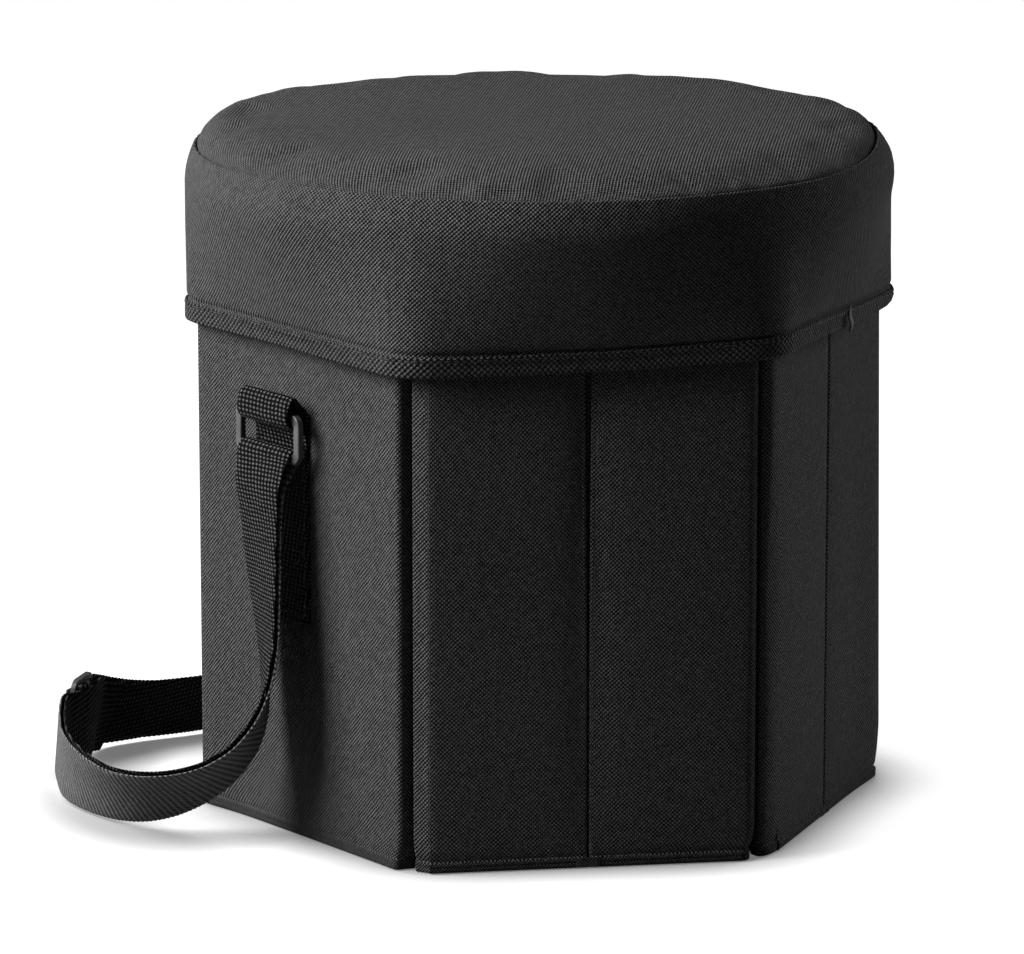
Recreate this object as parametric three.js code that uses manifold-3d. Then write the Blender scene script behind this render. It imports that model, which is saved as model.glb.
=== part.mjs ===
import * as THREE from "three";
import { mergeVertices } from "three/addons/utils/BufferGeometryUtils.js";
import Module from "manifold-3d";

// Folding cooler stool: six padded walls, a soft insulated floor, a cap lid with a padded seat, and a
// webbing carry strap. Millimetres, +Z up. The origin is the centre of the hexagon on the ground.
// The left wall (strap side) faces -X, the right wall +X, two front walls -Y and two back walls +Y.

const wasm = await Module();
wasm.setup();

// Hexagon and walls
const HINGE_APOTHEM = 130.8; // axis plane of the corner folds
const HALF_WALL = HINGE_APOTHEM * Math.tan(Math.PI / 6); // centre of a wall to its corner axis
const INNER = 0.5; // inner wall face, measured outward from the corner axes
const OUTER = 10.5; // outer wall face
const WALL_HEIGHT = 298;
const CORNER_GAP = 0.8;
const FOLD_GAP = 0.8;
// Corner of a panel that carries the flat corner strip: past the hinge axis, out, share of the hem step.
const LOBE = [
  [-0.8, 0.5, 0],
  [0.4, 1.9, 0],
  [2.6, 4.9, 0.2],
  [3.2, 5.7, 0.5],
  [2.7, 6.5, 0.7],
  [-1.9, 9.85, 0.8],
];
const LOBE_FACE = 3.4;
const EDGE_SWELL = 0.5;
const EDGE_RADIUS = 3;
const FOLD_RADIUS = 3;
const HEM_HEIGHT = 4.8;
const HEM_STEP = 0.7;
const POCKET_RIM = 1.5;
const POCKET_DEPTH = 7.8; // inner side of the padded face
const BOARD_SPAN = [4.5, 7.5];
const LINER_SPAN = [INNER, 4.2];
const FIT = 0.3;

// Floor
const FLOOR_APOTHEM = HINGE_APOTHEM + INNER - 0.4;
const FLOOR_FABRIC = [0, 1.4];
const FLOOR_PAD = [1.7, 7.5];

// Lid
const HEM_APOTHEM = 147;
const HEM_CORNER = 26;
const SKIRT_WALL = 2.7;
const SKIRT_FOOT = 235.1;
const SEAM_HEIGHT = 307.5;
const SEAM_RADIUS = 161.5;
const SHOULDER_RADIUS = 165;
const SHOULDER_HEIGHT = 292;
const BINDING_HEIGHT = 5.4;
const BINDING_PROUD = 0.8;
const LINING = [298.4, 301.4];
const SEAT_BOARD = [301.7, 306.9];
const SEAT_RADIUS = 156.8;
const COVER_THICK = 1.4;
const LID_STEPS = 72;
// Seat crown, radius and height from the seam to the middle
const CROWN = [
  [161.5, 307.9],
  [161.9, 309.2],
  [160.4, 311.6],
  [154.5, 314.9],
  [142, 317.8],
  [125, 319.7],
  [104, 320.8],
  [70, 321.4],
  [34, 321.7],
  [0, 321.8],
];

// Strap hardware
const WEB_WIDTH = 38;
const WEB_THICK = 1.6;
const ANCHOR_Y = 9;
const TAB_FOOT = 102;
const RING_PIVOT = [150.6, 198.3]; // outward distance and height of the upper bar
const RING_TILT = 0.01;
const RING_SPAN = 18.4; // upper bar to lower bar
const RING_OUTER = [48, 22.8];
const RING_INNER = [40.4, 14];
const RING_THICK = 3.2;
const RING_BEVEL = 0.5;
const EYE_RADIUS = 3.5;
const WRAP_RADIUS = 3.7;
const LEG_SPREAD = 2.0; // half distance between the two strap layers
const SLIDER_OUTER = [47, 24];
const SLIDER_SLOT = [40.4, 7.4];
const SLIDER_THICK = 2.6;
const OVER_BAR = SLIDER_THICK / 2 + WEB_THICK / 2 + 0.4;
const TAIL_LIFT = 4; // strap end over the single stretch
const TAIL_STEP = 0.6; // more of it beside the slider
const ROW_STEPS = 3;

// Strap route: centre x, y, z, then heading and dip in degrees of the line across the webbing.
// The doubled stretch hangs from the left ring, twists, lies down and turns back to the slider.
const LOOP_ROUTE = [
  [-156.2, 8.4, 166.3, 84, 2],
  [-157, 7.4, 148.1, 79, 3],
  [-157.1, 6, 129.9, 75, 3],
  [-157, 4.4, 111.8, 70, 3],
  [-157.2, 2.8, 93.9, 65, 4],
  [-158.9, 1.8, 76.3, 57, 5],
  [-162.5, 2.3, 59.9, 46, 9],
  [-169.1, 5.8, 45.4, 36, 14],
  [-177.8, 13.2, 34.1, 28, 22],
  [-186.9, 24, 26.2, 20, 31],
  [-195.1, 37.1, 21.1, 15, 41],
  [-201.1, 51.7, 18.6, 9, 50],
  [-203.9, 67.3, 18.6, 5, 60],
  [-203.6, 83.3, 19.6, 3, 69],
  [-200.4, 99.1, 20.6, 8, 78],
  [-194.4, 114.6, 21.4, 42, 86],
  [-185.2, 130.4, 22.9, 112, 87],
];
const SLIDER_AT = [-160.4, 152.8, 24.6];
const SLIDER_HEADING = 125;
const SLIDER_DIP = 84;
// The single stretch runs on behind the stool and climbs to the right ring.
const BACK_ROUTE = [
  [-138, 172.6, 21.6, 110, 76],
  [-123, 175.6, 19.2, 94, 66],
  [-105, 172.8, 18.1, 83, 60],
  [-75, 166.5, 18, 81, 60],
  [-40, 166.5, 18.3, 86, 63],
  [0, 172, 19, 90, 68],
  [40, 172.5, 19.3, 84, 74],
  [78, 167, 19.6, 76, 78],
  [112, 152.5, 20.2, 64, 82],
  [140, 130, 21.5, 46, 84],
  [157.5, 103, 24, 20, 84],
  [164, 80, 30, 345, 80],
];
const RISE_ROUTE = [
  [164.5, 61, 44, 308, 66],
  [162, 45, 66, 294, 48],
  [159, 28, 95, 284, 30],
  [157, 12, 125, 277, 14],
  [156, 0, 150, 273, 5],
  [155.4, -7, 168, 270, 0],
];

const MATERIALS = {
  fabric: [0x24262a, 0.85, 0],
  board: [0x8a6f4d, 0.9, 0],
  foil: [0xc3c7cb, 0.32, 0.75],
  foam: [0xd9d6cc, 0.95, 0],
  webbing: [0x1c1d20, 0.8, 0],
  plastic: [0x17181a, 0.38, 0],
};

const group = new THREE.Group();

function addPart(name, geometry, look) {
  const [color, roughness, metalness] = MATERIALS[look];
  const mesh = new THREE.Mesh(geometry, new THREE.MeshStandardMaterial({ color, roughness, metalness }));
  mesh.name = name;
  group.add(mesh);
}

function solidOf(geometry) {
  const bare = geometry.clone();
  bare.deleteAttribute("normal");
  bare.deleteAttribute("uv");
  const merged = mergeVertices(bare, 1e-3);
  return new wasm.Manifold(
    new wasm.Mesh({
      numProp: 3,
      vertProperties: merged.attributes.position.array,
      triVerts: new Uint32Array(merged.index.array),
    }),
  );
}

function geometryOf(solid) {
  const mesh = solid.getMesh();
  const geometry = new THREE.BufferGeometry();
  geometry.setAttribute("position", new THREE.BufferAttribute(mesh.vertProperties, 3));
  geometry.setIndex(new THREE.BufferAttribute(mesh.triVerts, 1));
  geometry.computeVertexNormals();
  return geometry;
}

// Upright prism over a plan outline.
function prism(points, [low, high]) {
  const shape = new THREE.Shape(points.map(([x, y]) => new THREE.Vector2(x, y)));
  const body = new THREE.ExtrudeGeometry(shape, { depth: high - low, bevelEnabled: false });
  return body.translate(0, 0, low);
}

// Skin over a row of closed rings of points; the row closes on itself or is capped at both ends.
function skin(rings, closed) {
  const count = rings[0].length;
  const index = [];
  const rows = closed ? rings.length : rings.length - 1;
  for (let i = 0; i < rows; i++) {
    const a = i * count;
    const b = ((i + 1) % rings.length) * count;
    for (let k = 0; k < count; k++) {
      const n = (k + 1) % count;
      index.push(a + k, a + n, b + n, a + k, b + n, b + k);
    }
  }
  if (!closed) {
    const last = (rings.length - 1) * count;
    for (let k = 1; k < count - 1; k++) {
      index.push(0, k + 1, k);
      index.push(last, last + k, last + k + 1);
    }
  }
  const flat = rings.flat().flatMap((p) => [p.x, p.y, p.z]);
  const geometry = new THREE.BufferGeometry();
  geometry.setAttribute("position", new THREE.Float32BufferAttribute(flat, 3));
  geometry.setIndex(index);
  const solid = solidOf(geometry);
  if (solid.volume() > 0) return geometry;
  for (let i = 0; i < index.length; i += 3) [index[i + 1], index[i + 2]] = [index[i + 2], index[i + 1]];
  geometry.setIndex(index);
  return geometry;
}

// Plan point on a wall: along is measured anticlockwise from the middle, out from the corner axes.
function onWall(facing, along, out) {
  const a = THREE.MathUtils.degToRad(facing);
  const reach = HINGE_APOTHEM + out;
  return [reach * Math.cos(a) - along * Math.sin(a), reach * Math.sin(a) + along * Math.cos(a)];
}

// Outline of one end of a wall panel, from the inner face to the outer face. Side is -1 or +1.
function endOutline(kind, side, grow) {
  const top = OUTER + grow;
  const points = [];
  if (kind === "lobe") {
    const axis = side * HALF_WALL;
    for (const [reach, out, share] of LOBE) {
      points.push([axis + side * (reach + grow * share), out + grow * share]);
    }
    points.push([axis - side * LOBE_FACE, top]);
    return points;
  }
  const radius = kind === "fold" ? FOLD_RADIUS : EDGE_RADIUS;
  const wall = kind === "fold" ? side * FOLD_GAP * -1 : side * (HALF_WALL - CORNER_GAP);
  const swell = kind === "fold" ? 0 : EDGE_SWELL;
  points.push([wall, INNER]);
  if (swell) points.push([wall, top - radius - swell]);
  for (let k = 0; k <= 4; k++) {
    const turn = (Math.PI / 2) * (k / 4);
    const inset = radius * (1 - Math.cos(turn)) - swell;
    points.push([wall - side * inset, top - radius + radius * Math.sin(turn)]);
  }
  return points;
}

function panelOutline(panel, grow) {
  const low = endOutline(panel.ends[0], -1, grow);
  const high = endOutline(panel.ends[1], 1, grow);
  return [...low.reverse(), ...high].map(([u, w]) => onWall(panel.facing, u, w));
}

function reachOf(kind, side) {
  return kind === "fold" ? -side * FOLD_GAP : side * (HALF_WALL - CORNER_GAP);
}

function slab(panel, inset, [near, far], span) {
  const low = reachOf(panel.ends[0], -1) + inset;
  const high = reachOf(panel.ends[1], 1) - inset;
  const corners = [
    [low, near],
    [high, near],
    [high, far],
    [low, far],
  ];
  return prism(
    corners.map(([u, w]) => onWall(panel.facing, u, w)),
    span,
  );
}

// Fabric pocket: padded face, rounded edges, bound hem, open towards the inside of the stool.
function coverOf(panel) {
  const face = solidOf(prism(panelOutline(panel, 0), [0, WALL_HEIGHT]));
  const hem = solidOf(prism(panelOutline(panel, HEM_STEP), [0, HEM_HEIGHT]));
  const span = [POCKET_RIM, WALL_HEIGHT - POCKET_RIM];
  const pocket = solidOf(slab(panel, POCKET_RIM, [-1, POCKET_DEPTH], span));
  return geometryOf(face.add(hem).subtract(pocket));
}

// Corner folds keep a rounded lobe on the panel that swings away from its neighbour.
const PANELS = [
  { name: "left_wall", facing: 180, ends: ["edge", "edge"] },
  { name: "front_left_side", facing: 240, ends: ["lobe", "fold"] },
  { name: "front_left_centre", facing: 240, ends: ["fold", "edge"] },
  { name: "front_right_centre", facing: 300, ends: ["lobe", "fold"] },
  { name: "front_right_side", facing: 300, ends: ["fold", "edge"] },
  { name: "right_wall", facing: 0, ends: ["lobe", "lobe"] },
  { name: "back_left_side", facing: 120, ends: ["fold", "lobe"] },
  { name: "back_left_centre", facing: 120, ends: ["edge", "fold"] },
  { name: "back_right_centre", facing: 60, ends: ["fold", "lobe"] },
  { name: "back_right_side", facing: 60, ends: ["edge", "fold"] },
];

function buildWalls() {
  const rim = POCKET_RIM + FIT;
  const span = [rim, WALL_HEIGHT - rim];
  for (const panel of PANELS) {
    addPart(panel.name + "_cover", coverOf(panel), "fabric");
    addPart(panel.name + "_board", slab(panel, rim, BOARD_SPAN, span), "board");
    addPart(panel.name + "_liner", slab(panel, rim, LINER_SPAN, span), "foil");
  }
}

function hexagon(apothem) {
  const radius = apothem / Math.cos(Math.PI / 6);
  return Array.from({ length: 6 }, (_, k) => {
    const a = Math.PI / 6 + (k * Math.PI) / 3;
    return [radius * Math.cos(a), radius * Math.sin(a)];
  });
}

function buildFloor() {
  addPart("floor_fabric", prism(hexagon(FLOOR_APOTHEM), FLOOR_FABRIC), "fabric");
  addPart("floor_pad", prism(hexagon(FLOOR_APOTHEM), FLOOR_PAD), "foil");
}

// Radius of a hexagon with rounded corners; flats face 0, 60, 120 degrees and so on.
function roundedHexagon(angle, apothem, corner) {
  const third = Math.PI / 3;
  const off = Math.abs(angle - third * Math.round(angle / third));
  if (apothem * Math.tan(off) <= (apothem - corner) * Math.tan(third / 2)) return apothem / Math.cos(off);
  const centre = (apothem - corner) / Math.cos(third / 2);
  const away = third / 2 - off;
  return centre * Math.cos(away) + Math.sqrt(corner ** 2 - (centre * Math.sin(away)) ** 2);
}

function bump(angle, middle, width) {
  const turn = Math.atan2(Math.sin(angle - middle), Math.cos(angle - middle));
  return Math.abs(turn) < width ? Math.cos((turn / width) * (Math.PI / 2)) ** 2 : 0;
}

// The sewn hem is not quite level: it dips and lifts a little at the front corners.
function hemWave(angle) {
  const deg = THREE.MathUtils.degToRad;
  const dips = -1.4 * bump(angle, deg(210), deg(40)) - 2.6 * bump(angle, deg(332), deg(34));
  return dips + 3.2 * bump(angle, deg(276), deg(36));
}

// Outer radius of the lid skirt, hexagonal at the hem and round at the seat seam.
function skirtRadius(angle, height) {
  const rise = (height - SKIRT_FOOT) / (SHOULDER_HEIGHT - SKIRT_FOOT);
  const low = roundedHexagon(angle, HEM_APOTHEM, HEM_CORNER);
  const mid = THREE.MathUtils.lerp(low, SHOULDER_RADIUS, THREE.MathUtils.clamp(rise, 0, 1));
  const over = Math.max(0, (height - SHOULDER_HEIGHT) / (SEAM_HEIGHT - SHOULDER_HEIGHT));
  return mid - (SHOULDER_RADIUS - SEAM_RADIUS) * over ** 2;
}

function ringSection(angle, outline) {
  return outline.map(([r, z]) => new THREE.Vector3(r * Math.cos(angle), r * Math.sin(angle), z));
}

function skirtSection(angle) {
  const levels = [SKIRT_FOOT, 248, 263, 278, SHOULDER_HEIGHT, 299, 304, SEAM_HEIGHT];
  const lift = (z) => hemWave(angle) * Math.max(0, 1 - (z - SKIRT_FOOT) / 45);
  const outside = levels.map((z) => [skirtRadius(angle, z), z + lift(z)]);
  const inside = outside.map(([r, z]) => [r - SKIRT_WALL, z]).reverse();
  return ringSection(angle, [...outside, ...inside]);
}

function bindingSection(angle) {
  const out = skirtRadius(angle, SKIRT_FOOT) + BINDING_PROUD;
  const inn = out - SKIRT_WALL - 2 * BINDING_PROUD + 0.4;
  const top = SKIRT_FOOT - FIT + hemWave(angle);
  const foot = top - BINDING_HEIGHT;
  const outline = [
    [out - 0.7, foot],
    [out, foot + 1],
    [out, top - 0.8],
    [out - 0.6, top],
    [inn + 0.5, top],
    [inn, top - 1],
    [inn, foot + 1],
    [inn + 0.7, foot],
  ];
  return ringSection(angle, outline);
}

function aroundLid(section) {
  const rings = Array.from({ length: LID_STEPS }, (_, k) => section((k / LID_STEPS) * 2 * Math.PI));
  return skin(rings, true);
}

function lathe(outline) {
  const points = outline.map(([r, z]) => new THREE.Vector2(r, z));
  return new THREE.LatheGeometry(points, 64).rotateX(Math.PI / 2);
}

function closedLathe(outline) {
  const solid = solidOf(lathe(outline));
  if (solid.volume() > 0) return geometryOf(solid);
  return geometryOf(solidOf(lathe([...outline].reverse())));
}

function buildLid() {
  const disc = ([low, high], radius) => [
    [0, low],
    [radius - 1, low],
    [radius, low + 1],
    [radius, high - 1],
    [radius - 1, high],
    [0, high],
  ];
  addPart("lid_lining", closedLathe(disc(LINING, SEAT_RADIUS - 1)), "foil");
  addPart("seat_board", closedLathe(disc(SEAT_BOARD, SEAT_RADIUS)), "board");
  const inside = CROWN.map(([r, z]) => [Math.max(0, r - COVER_THICK * 1.5), z - COVER_THICK]);
  const rim = CROWN[0][1];
  const shell = [...CROWN, ...inside.slice(1).reverse(), [inside[0][0], rim]];
  addPart("seat_cover", closedLathe([...shell, CROWN[0]]), "fabric");
  const filling = inside.slice(2).map(([r, z]) => [Math.max(0, r - 0.6), z - 0.4]);
  const foot = SEAT_BOARD[1] + FIT;
  addPart("seat_foam", closedLathe([[0, foot], [filling[0][0] - 3, foot], ...filling]), "foam");
  addPart("lid_skirt", aroundLid(skirtSection), "fabric");
  addPart("lid_binding", aroundLid(bindingSection), "webbing");
}

// Turns a piece drawn for the left side (outward, height, along) onto the left or right wall.
function toSide(geometry, side) {
  geometry.rotateX(Math.PI / 2);
  geometry.translate(0, ANCHOR_Y, 0);
  if (side === "left") return geometry;
  return geometry.rotateZ(Math.PI);
}

// Sewn webbing patch whose upper end stands off as an eye around the ring's upper bar.
function tabGeometry() {
  const wall = -(HINGE_APOTHEM + OUTER + FIT);
  const [out, height] = [-RING_PIVOT[0], RING_PIVOT[1]];
  const shape = new THREE.Shape();
  const reach = EYE_RADIUS + WEB_THICK;
  shape.moveTo(wall, TAB_FOOT);
  shape.lineTo(wall, height + reach - 1.5);
  shape.lineTo(wall - WEB_THICK, height + reach - 0.6);
  for (let k = 0; k <= 8; k++) {
    const turn = Math.PI * (0.42 + (k / 8) * 1.0);
    shape.lineTo(out + reach * Math.cos(turn), height + reach * Math.sin(turn));
  }
  shape.lineTo(wall - 2 * WEB_THICK, height - reach - 4);
  shape.lineTo(wall - 2 * WEB_THICK, height - reach - 14);
  shape.lineTo(wall - WEB_THICK, height - reach - 14.5);
  shape.lineTo(wall - WEB_THICK, TAB_FOOT);
  const eye = new THREE.Path();
  eye.moveTo(wall - 2 * WEB_THICK, height + 1.5);
  for (let k = 0; k <= 10; k++) {
    const turn = Math.PI * (0.36 + (k / 10) * 1.2);
    eye.lineTo(out + EYE_RADIUS * Math.cos(turn), height + EYE_RADIUS * Math.sin(turn));
  }
  eye.lineTo(wall - 2 * WEB_THICK, height - 2.5);
  shape.holes.push(eye);
  const body = new THREE.ExtrudeGeometry(shape, { depth: WEB_WIDTH, bevelEnabled: false });
  return body.translate(0, 0, -WEB_WIDTH / 2);
}

function roundedRectangle(path, width, height, radius) {
  const [w, h] = [width / 2, height / 2];
  path.moveTo(-w + radius, -h);
  path.lineTo(w - radius, -h);
  path.absarc(w - radius, -h + radius, radius, -Math.PI / 2, 0, false);
  path.absarc(w - radius, h - radius, radius, 0, Math.PI / 2, false);
  path.absarc(-w + radius, h - radius, radius, Math.PI / 2, Math.PI, false);
  path.absarc(-w + radius, -h + radius, radius, Math.PI, 1.5 * Math.PI, false);
  return path;
}

function frame(outer, slots, thick, bevel) {
  const shape = roundedRectangle(new THREE.Shape(), outer[0], outer[1], 5);
  for (const [size, shift] of slots) {
    const hole = roundedRectangle(new THREE.Path(), size[0], size[1], 2);
    const points = hole.getPoints(3).map((p) => new THREE.Vector2(p.x, p.y + shift));
    shape.holes.push(new THREE.Path(points));
  }
  const depth = thick - 2 * bevel;
  const options = { depth, bevelThickness: bevel, bevelSize: bevel, bevelOffset: -bevel };
  const body = new THREE.ExtrudeGeometry(shape, { ...options, bevelSegments: 2, curveSegments: 4 });
  return body.translate(0, 0, -depth / 2);
}

// Rectangular ring, drawn upright with its upper bar at the origin, then tilted off the wall.
function ringGeometry() {
  const body = frame(RING_OUTER, [[RING_INNER, 0]], RING_THICK, RING_BEVEL);
  body.translate(0, -RING_SPAN / 2, 0);
  body.rotateY(Math.PI / 2);
  body.rotateZ(-RING_TILT);
  return body.translate(-RING_PIVOT[0], RING_PIVOT[1], 0);
}

function lowerBar(side) {
  const out = RING_PIVOT[0] + RING_SPAN * Math.sin(RING_TILT);
  const z = RING_PIVOT[1] - RING_SPAN * Math.cos(RING_TILT);
  const sign = side === "left" ? -1 : 1;
  return new THREE.Vector3(sign * out, -sign * ANCHOR_Y, z);
}

function station([x, y, z, heading, dip]) {
  const h = THREE.MathUtils.degToRad(heading);
  const d = THREE.MathUtils.degToRad(dip);
  const across = new THREE.Vector3(
    Math.cos(h) * Math.cos(d),
    Math.sin(h) * Math.cos(d),
    -Math.sin(d),
  );
  return { at: new THREE.Vector3(x, y, z), across };
}

// Smooth row of stations through hand-placed ones, each with its direction along and off the webbing.
function smoothRow(stations, steps) {
  const curve = new THREE.CatmullRomCurve3(
    stations.map((s) => s.at),
    false,
    "centripetal",
  );
  const row = [];
  const total = (stations.length - 1) * steps;
  for (let i = 0; i <= total; i++) {
    const t = i / total;
    const k = Math.min(stations.length - 2, Math.floor(i / steps));
    const across = stations[k].across.clone().lerp(stations[k + 1].across, i / steps - k);
    const along = curve.getTangent(t);
    across.addScaledVector(along, -across.dot(along)).normalize();
    const off = new THREE.Vector3().crossVectors(across, along);
    row.push({ at: curve.getPoint(t), across, off });
  }
  return row;
}

function ribbon(row) {
  const half = WEB_WIDTH / 2;
  const t = WEB_THICK / 2;
  const edge = [
    [-half, -t * 0.4],
    [-half + 0.7, -t],
    [half - 0.7, -t],
    [half, -t * 0.4],
    [half, t * 0.4],
    [half - 0.7, t],
    [-half + 0.7, t],
    [-half, t * 0.4],
  ];
  const rings = row.map((s) =>
    edge.map(([a, o]) => s.at.clone().addScaledVector(s.across, a).addScaledVector(s.off, o)),
  );
  return skin(rings, false);
}

// Moves a row of stations off the middle surface, wide at the ring and closing to the layer spacing.
function layer(row, sign) {
  return row.map((s, i) => {
    const wide = WRAP_RADIUS - LEG_SPREAD;
    const amount = sign * (LEG_SPREAD + wide * Math.max(0, 1 - i / (2 * ROW_STEPS)) ** 2);
    return { ...s, at: s.at.clone().addScaledVector(s.off, amount) };
  });
}

// Turn of the webbing over a ring's lower bar; the angle is 0 on the wall side and pi on the outer side.
function wrapRow(side, first, last) {
  const bar = lowerBar(side);
  const sign = side === "left" ? -1 : 1;
  const across = new THREE.Vector3(0, -sign, 0);
  return Array.from({ length: 9 }, (_, k) => {
    const turn = THREE.MathUtils.lerp(first, last, k / 8);
    const off = new THREE.Vector3(-sign * Math.cos(turn), 0, Math.sin(turn));
    return { at: bar.clone().addScaledVector(off, WRAP_RADIUS), across, off };
  });
}

function sliderFrame() {
  const middle = station([...SLIDER_AT, SLIDER_HEADING, SLIDER_DIP]);
  const h = THREE.MathUtils.degToRad(SLIDER_HEADING - 90);
  const along = new THREE.Vector3(Math.cos(h), Math.sin(h), 0);
  const off = new THREE.Vector3().crossVectors(middle.across, along);
  return { ...middle, along, off };
}

// Short run of webbing at the slider, each step a distance along the strap and off its middle plane.
function atSlider(steps) {
  const s = sliderFrame();
  return steps.map(([a, o]) => ({
    at: s.at.clone().addScaledVector(s.along, a).addScaledVector(s.off, o),
    across: s.across,
    off: s.off,
  }));
}

function sliderGeometry() {
  const s = sliderFrame();
  const shift = (SLIDER_OUTER[1] - 2 * SLIDER_SLOT[1]) / 6 + SLIDER_SLOT[1] / 2;
  const slots = [-1, 1].map((side) => [SLIDER_SLOT, side * shift]);
  const body = frame(SLIDER_OUTER, slots, SLIDER_THICK, 0.4);
  const turn = new THREE.Matrix4().makeBasis(s.across, s.along, s.off);
  return body.applyMatrix4(turn.setPosition(s.at));
}

function buildAnchors() {
  for (const side of ["left", "right"]) {
    addPart(side + "_strap_tab", toSide(tabGeometry(), side), "webbing");
    addPart(side + "_ring", toSide(ringGeometry(), side), "plastic");
  }
  addPart("strap_slider", sliderGeometry(), "plastic");
}

// Middle of the single stretch, from the slider to the right ring.
function singleRun() {
  const bar = lowerBar("right");
  const ringEnd = station([bar.x + WRAP_RADIUS, bar.y, bar.z, 270, 0]);
  const ends = [...BACK_ROUTE, ...RISE_ROUTE].map(station);
  return smoothRow([...atSlider([[17, -OVER_BAR + 0.8]]), ...ends, ringEnd], ROW_STEPS);
}

// The doubled stretch: an outer layer over the ring, its end on the slider, and an inner layer under it.
function buildDoubledStrap() {
  const bar = lowerBar("left");
  const ringEnd = station([bar.x, bar.y, bar.z, 90, 0]);
  const entry = atSlider([[-22, 0], [-16.5, 0]]);
  const middle = smoothRow([ringEnd, ...LOOP_ROUTE.map(station), ...entry], ROW_STEPS);
  const [weave, cap] = [OVER_BAR, OVER_BAR + WEB_THICK + 0.6];
  const lie = [[-12, weave], [-7, weave + 1.2], [-2, cap], [4, cap], [9.5, cap - 0.5]];
  const tail = singleRun().slice(0, 6).map((s, k) => {
    const lift = TAIL_LIFT + TAIL_STEP * Math.max(0, 1 - k / 3) ** 2;
    return { ...s, at: s.at.clone().addScaledVector(s.off, lift) };
  });
  const over = wrapRow("left", 0, Math.PI * 0.94);
  const outer = [...over, ...layer(middle, 1).slice(1), ...atSlider(lie), ...tail];
  addPart("strap_outer_layer", ribbon(outer), "webbing");
  const down = [[-13, -weave], [-9.2, -weave], [-5.2, 0], [-1.9, weave], [-0.2, weave]];
  const inner = [...layer(middle, -1), ...atSlider(down)];
  const foot = wrapRow("left", -0.16, 0)[0];
  inner[0] = { ...foot, off: foot.off.clone().negate() };
  addPart("strap_inner_layer", ribbon(inner), "webbing");
}

// The single stretch behind the stool, then the climb to the right ring with its sewn return.
function buildSingleStrap() {
  const weave = OVER_BAR;
  const up = [[0.2, weave], [1.9, weave], [5.2, 0], [9.2, -weave], [13, -weave]];
  const bar = lowerBar("right");
  const run = singleRun();
  const cut = BACK_ROUTE.length * ROW_STEPS;
  addPart("strap_back_run", ribbon([...atSlider(up), ...run.slice(0, cut + 1)]), "webbing");
  const climb = run.slice(cut);
  const ahead = climb[1].at.clone().sub(climb[0].at).normalize();
  climb[0] = { ...climb[0], at: climb[0].at.clone().addScaledVector(ahead, FIT) };
  const over = wrapRow("right", Math.PI, 0).map((s) => ({ ...s, off: s.off.clone().negate() }));
  const tail = [10, 22, 34].map((drop) => ({
    at: new THREE.Vector3(bar.x - WRAP_RADIUS + drop * 0.12, bar.y, bar.z - drop),
    across: over[0].across,
    off: new THREE.Vector3(1, 0, 0),
  }));
  addPart("strap_right_rise", ribbon([...climb, ...over.slice(1), ...tail]), "webbing");
}

buildWalls();
buildFloor();
buildLid();
buildAnchors();
buildDoubledStrap();
buildSingleStrap();

export default group;
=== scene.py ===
import math

import bmesh
import bpy
import numpy as np
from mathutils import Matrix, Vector


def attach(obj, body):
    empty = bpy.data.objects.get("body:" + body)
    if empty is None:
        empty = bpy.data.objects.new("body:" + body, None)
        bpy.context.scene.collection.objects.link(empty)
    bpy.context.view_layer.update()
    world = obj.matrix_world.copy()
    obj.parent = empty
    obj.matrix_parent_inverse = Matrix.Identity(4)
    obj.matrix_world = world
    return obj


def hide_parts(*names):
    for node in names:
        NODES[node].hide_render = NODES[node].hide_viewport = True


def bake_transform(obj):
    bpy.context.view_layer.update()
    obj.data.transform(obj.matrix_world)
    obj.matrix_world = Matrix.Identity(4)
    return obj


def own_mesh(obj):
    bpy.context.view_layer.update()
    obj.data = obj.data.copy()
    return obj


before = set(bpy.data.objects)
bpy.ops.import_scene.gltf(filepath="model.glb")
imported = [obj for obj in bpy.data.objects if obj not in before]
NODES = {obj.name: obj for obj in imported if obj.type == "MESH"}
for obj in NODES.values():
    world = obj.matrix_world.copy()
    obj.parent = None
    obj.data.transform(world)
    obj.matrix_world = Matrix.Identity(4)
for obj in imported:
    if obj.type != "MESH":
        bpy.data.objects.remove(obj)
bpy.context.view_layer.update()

MM = 0.001
TAU = 2 * math.pi

# Wall frame, millimetres: u runs along a wall, w outward from the corner axes.
HINGE_APOTHEM = 130.8
HALF_WALL = HINGE_APOTHEM * math.tan(math.pi / 6)
CORNER_RADIUS = HINGE_APOTHEM / math.cos(math.pi / 6)
INNER = 0.5
OUTER = 10.5
BOARD_FACE = 4.35
WALL_HEIGHT = 298.0
CORNER_GAP = 0.8
FOLD_GAP = 0.8
FOLD_RADIUS = 3.4
HEM_HEIGHT = 4.8
POCKET_RIM = 1.5
WEB_DEPTH = 0.15

# Padded panel ends at a corner: reach past the corner axis, w, and share of the growth they take.
LOBE = [
    (-0.8, 0.5, 0), (0.4, 1.9, 0), (1.5, 3.4, 0.1), (2.6, 4.9, 0.2), (3.05, 5.4, 0.4),
    (3.2, 5.8, 0.5), (3.1, 6.2, 0.6), (2.7, 6.5, 0.7), (1.3, 7.52, 0.75), (-0.1, 8.55, 0.75),
    (-1.2, 9.3, 0.8), (-1.9, 9.8, 0.85), (-2.6, 10.2, 0.95),
]
SOFT_LOBE = LOBE[:5] + [
    (3.2, 5.8, 0.5), (2.9, 6.7, 0.6), (2.2, 7.6, 0.7), (1.1, 8.4, 0.75), (-0.4, 9.05, 0.8),
    (-2.2, 9.6, 0.85), (-4.2, 10.02, 0.9), (-6.2, 10.3, 0.95), (-8.2, 10.45, 1),
]
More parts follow.
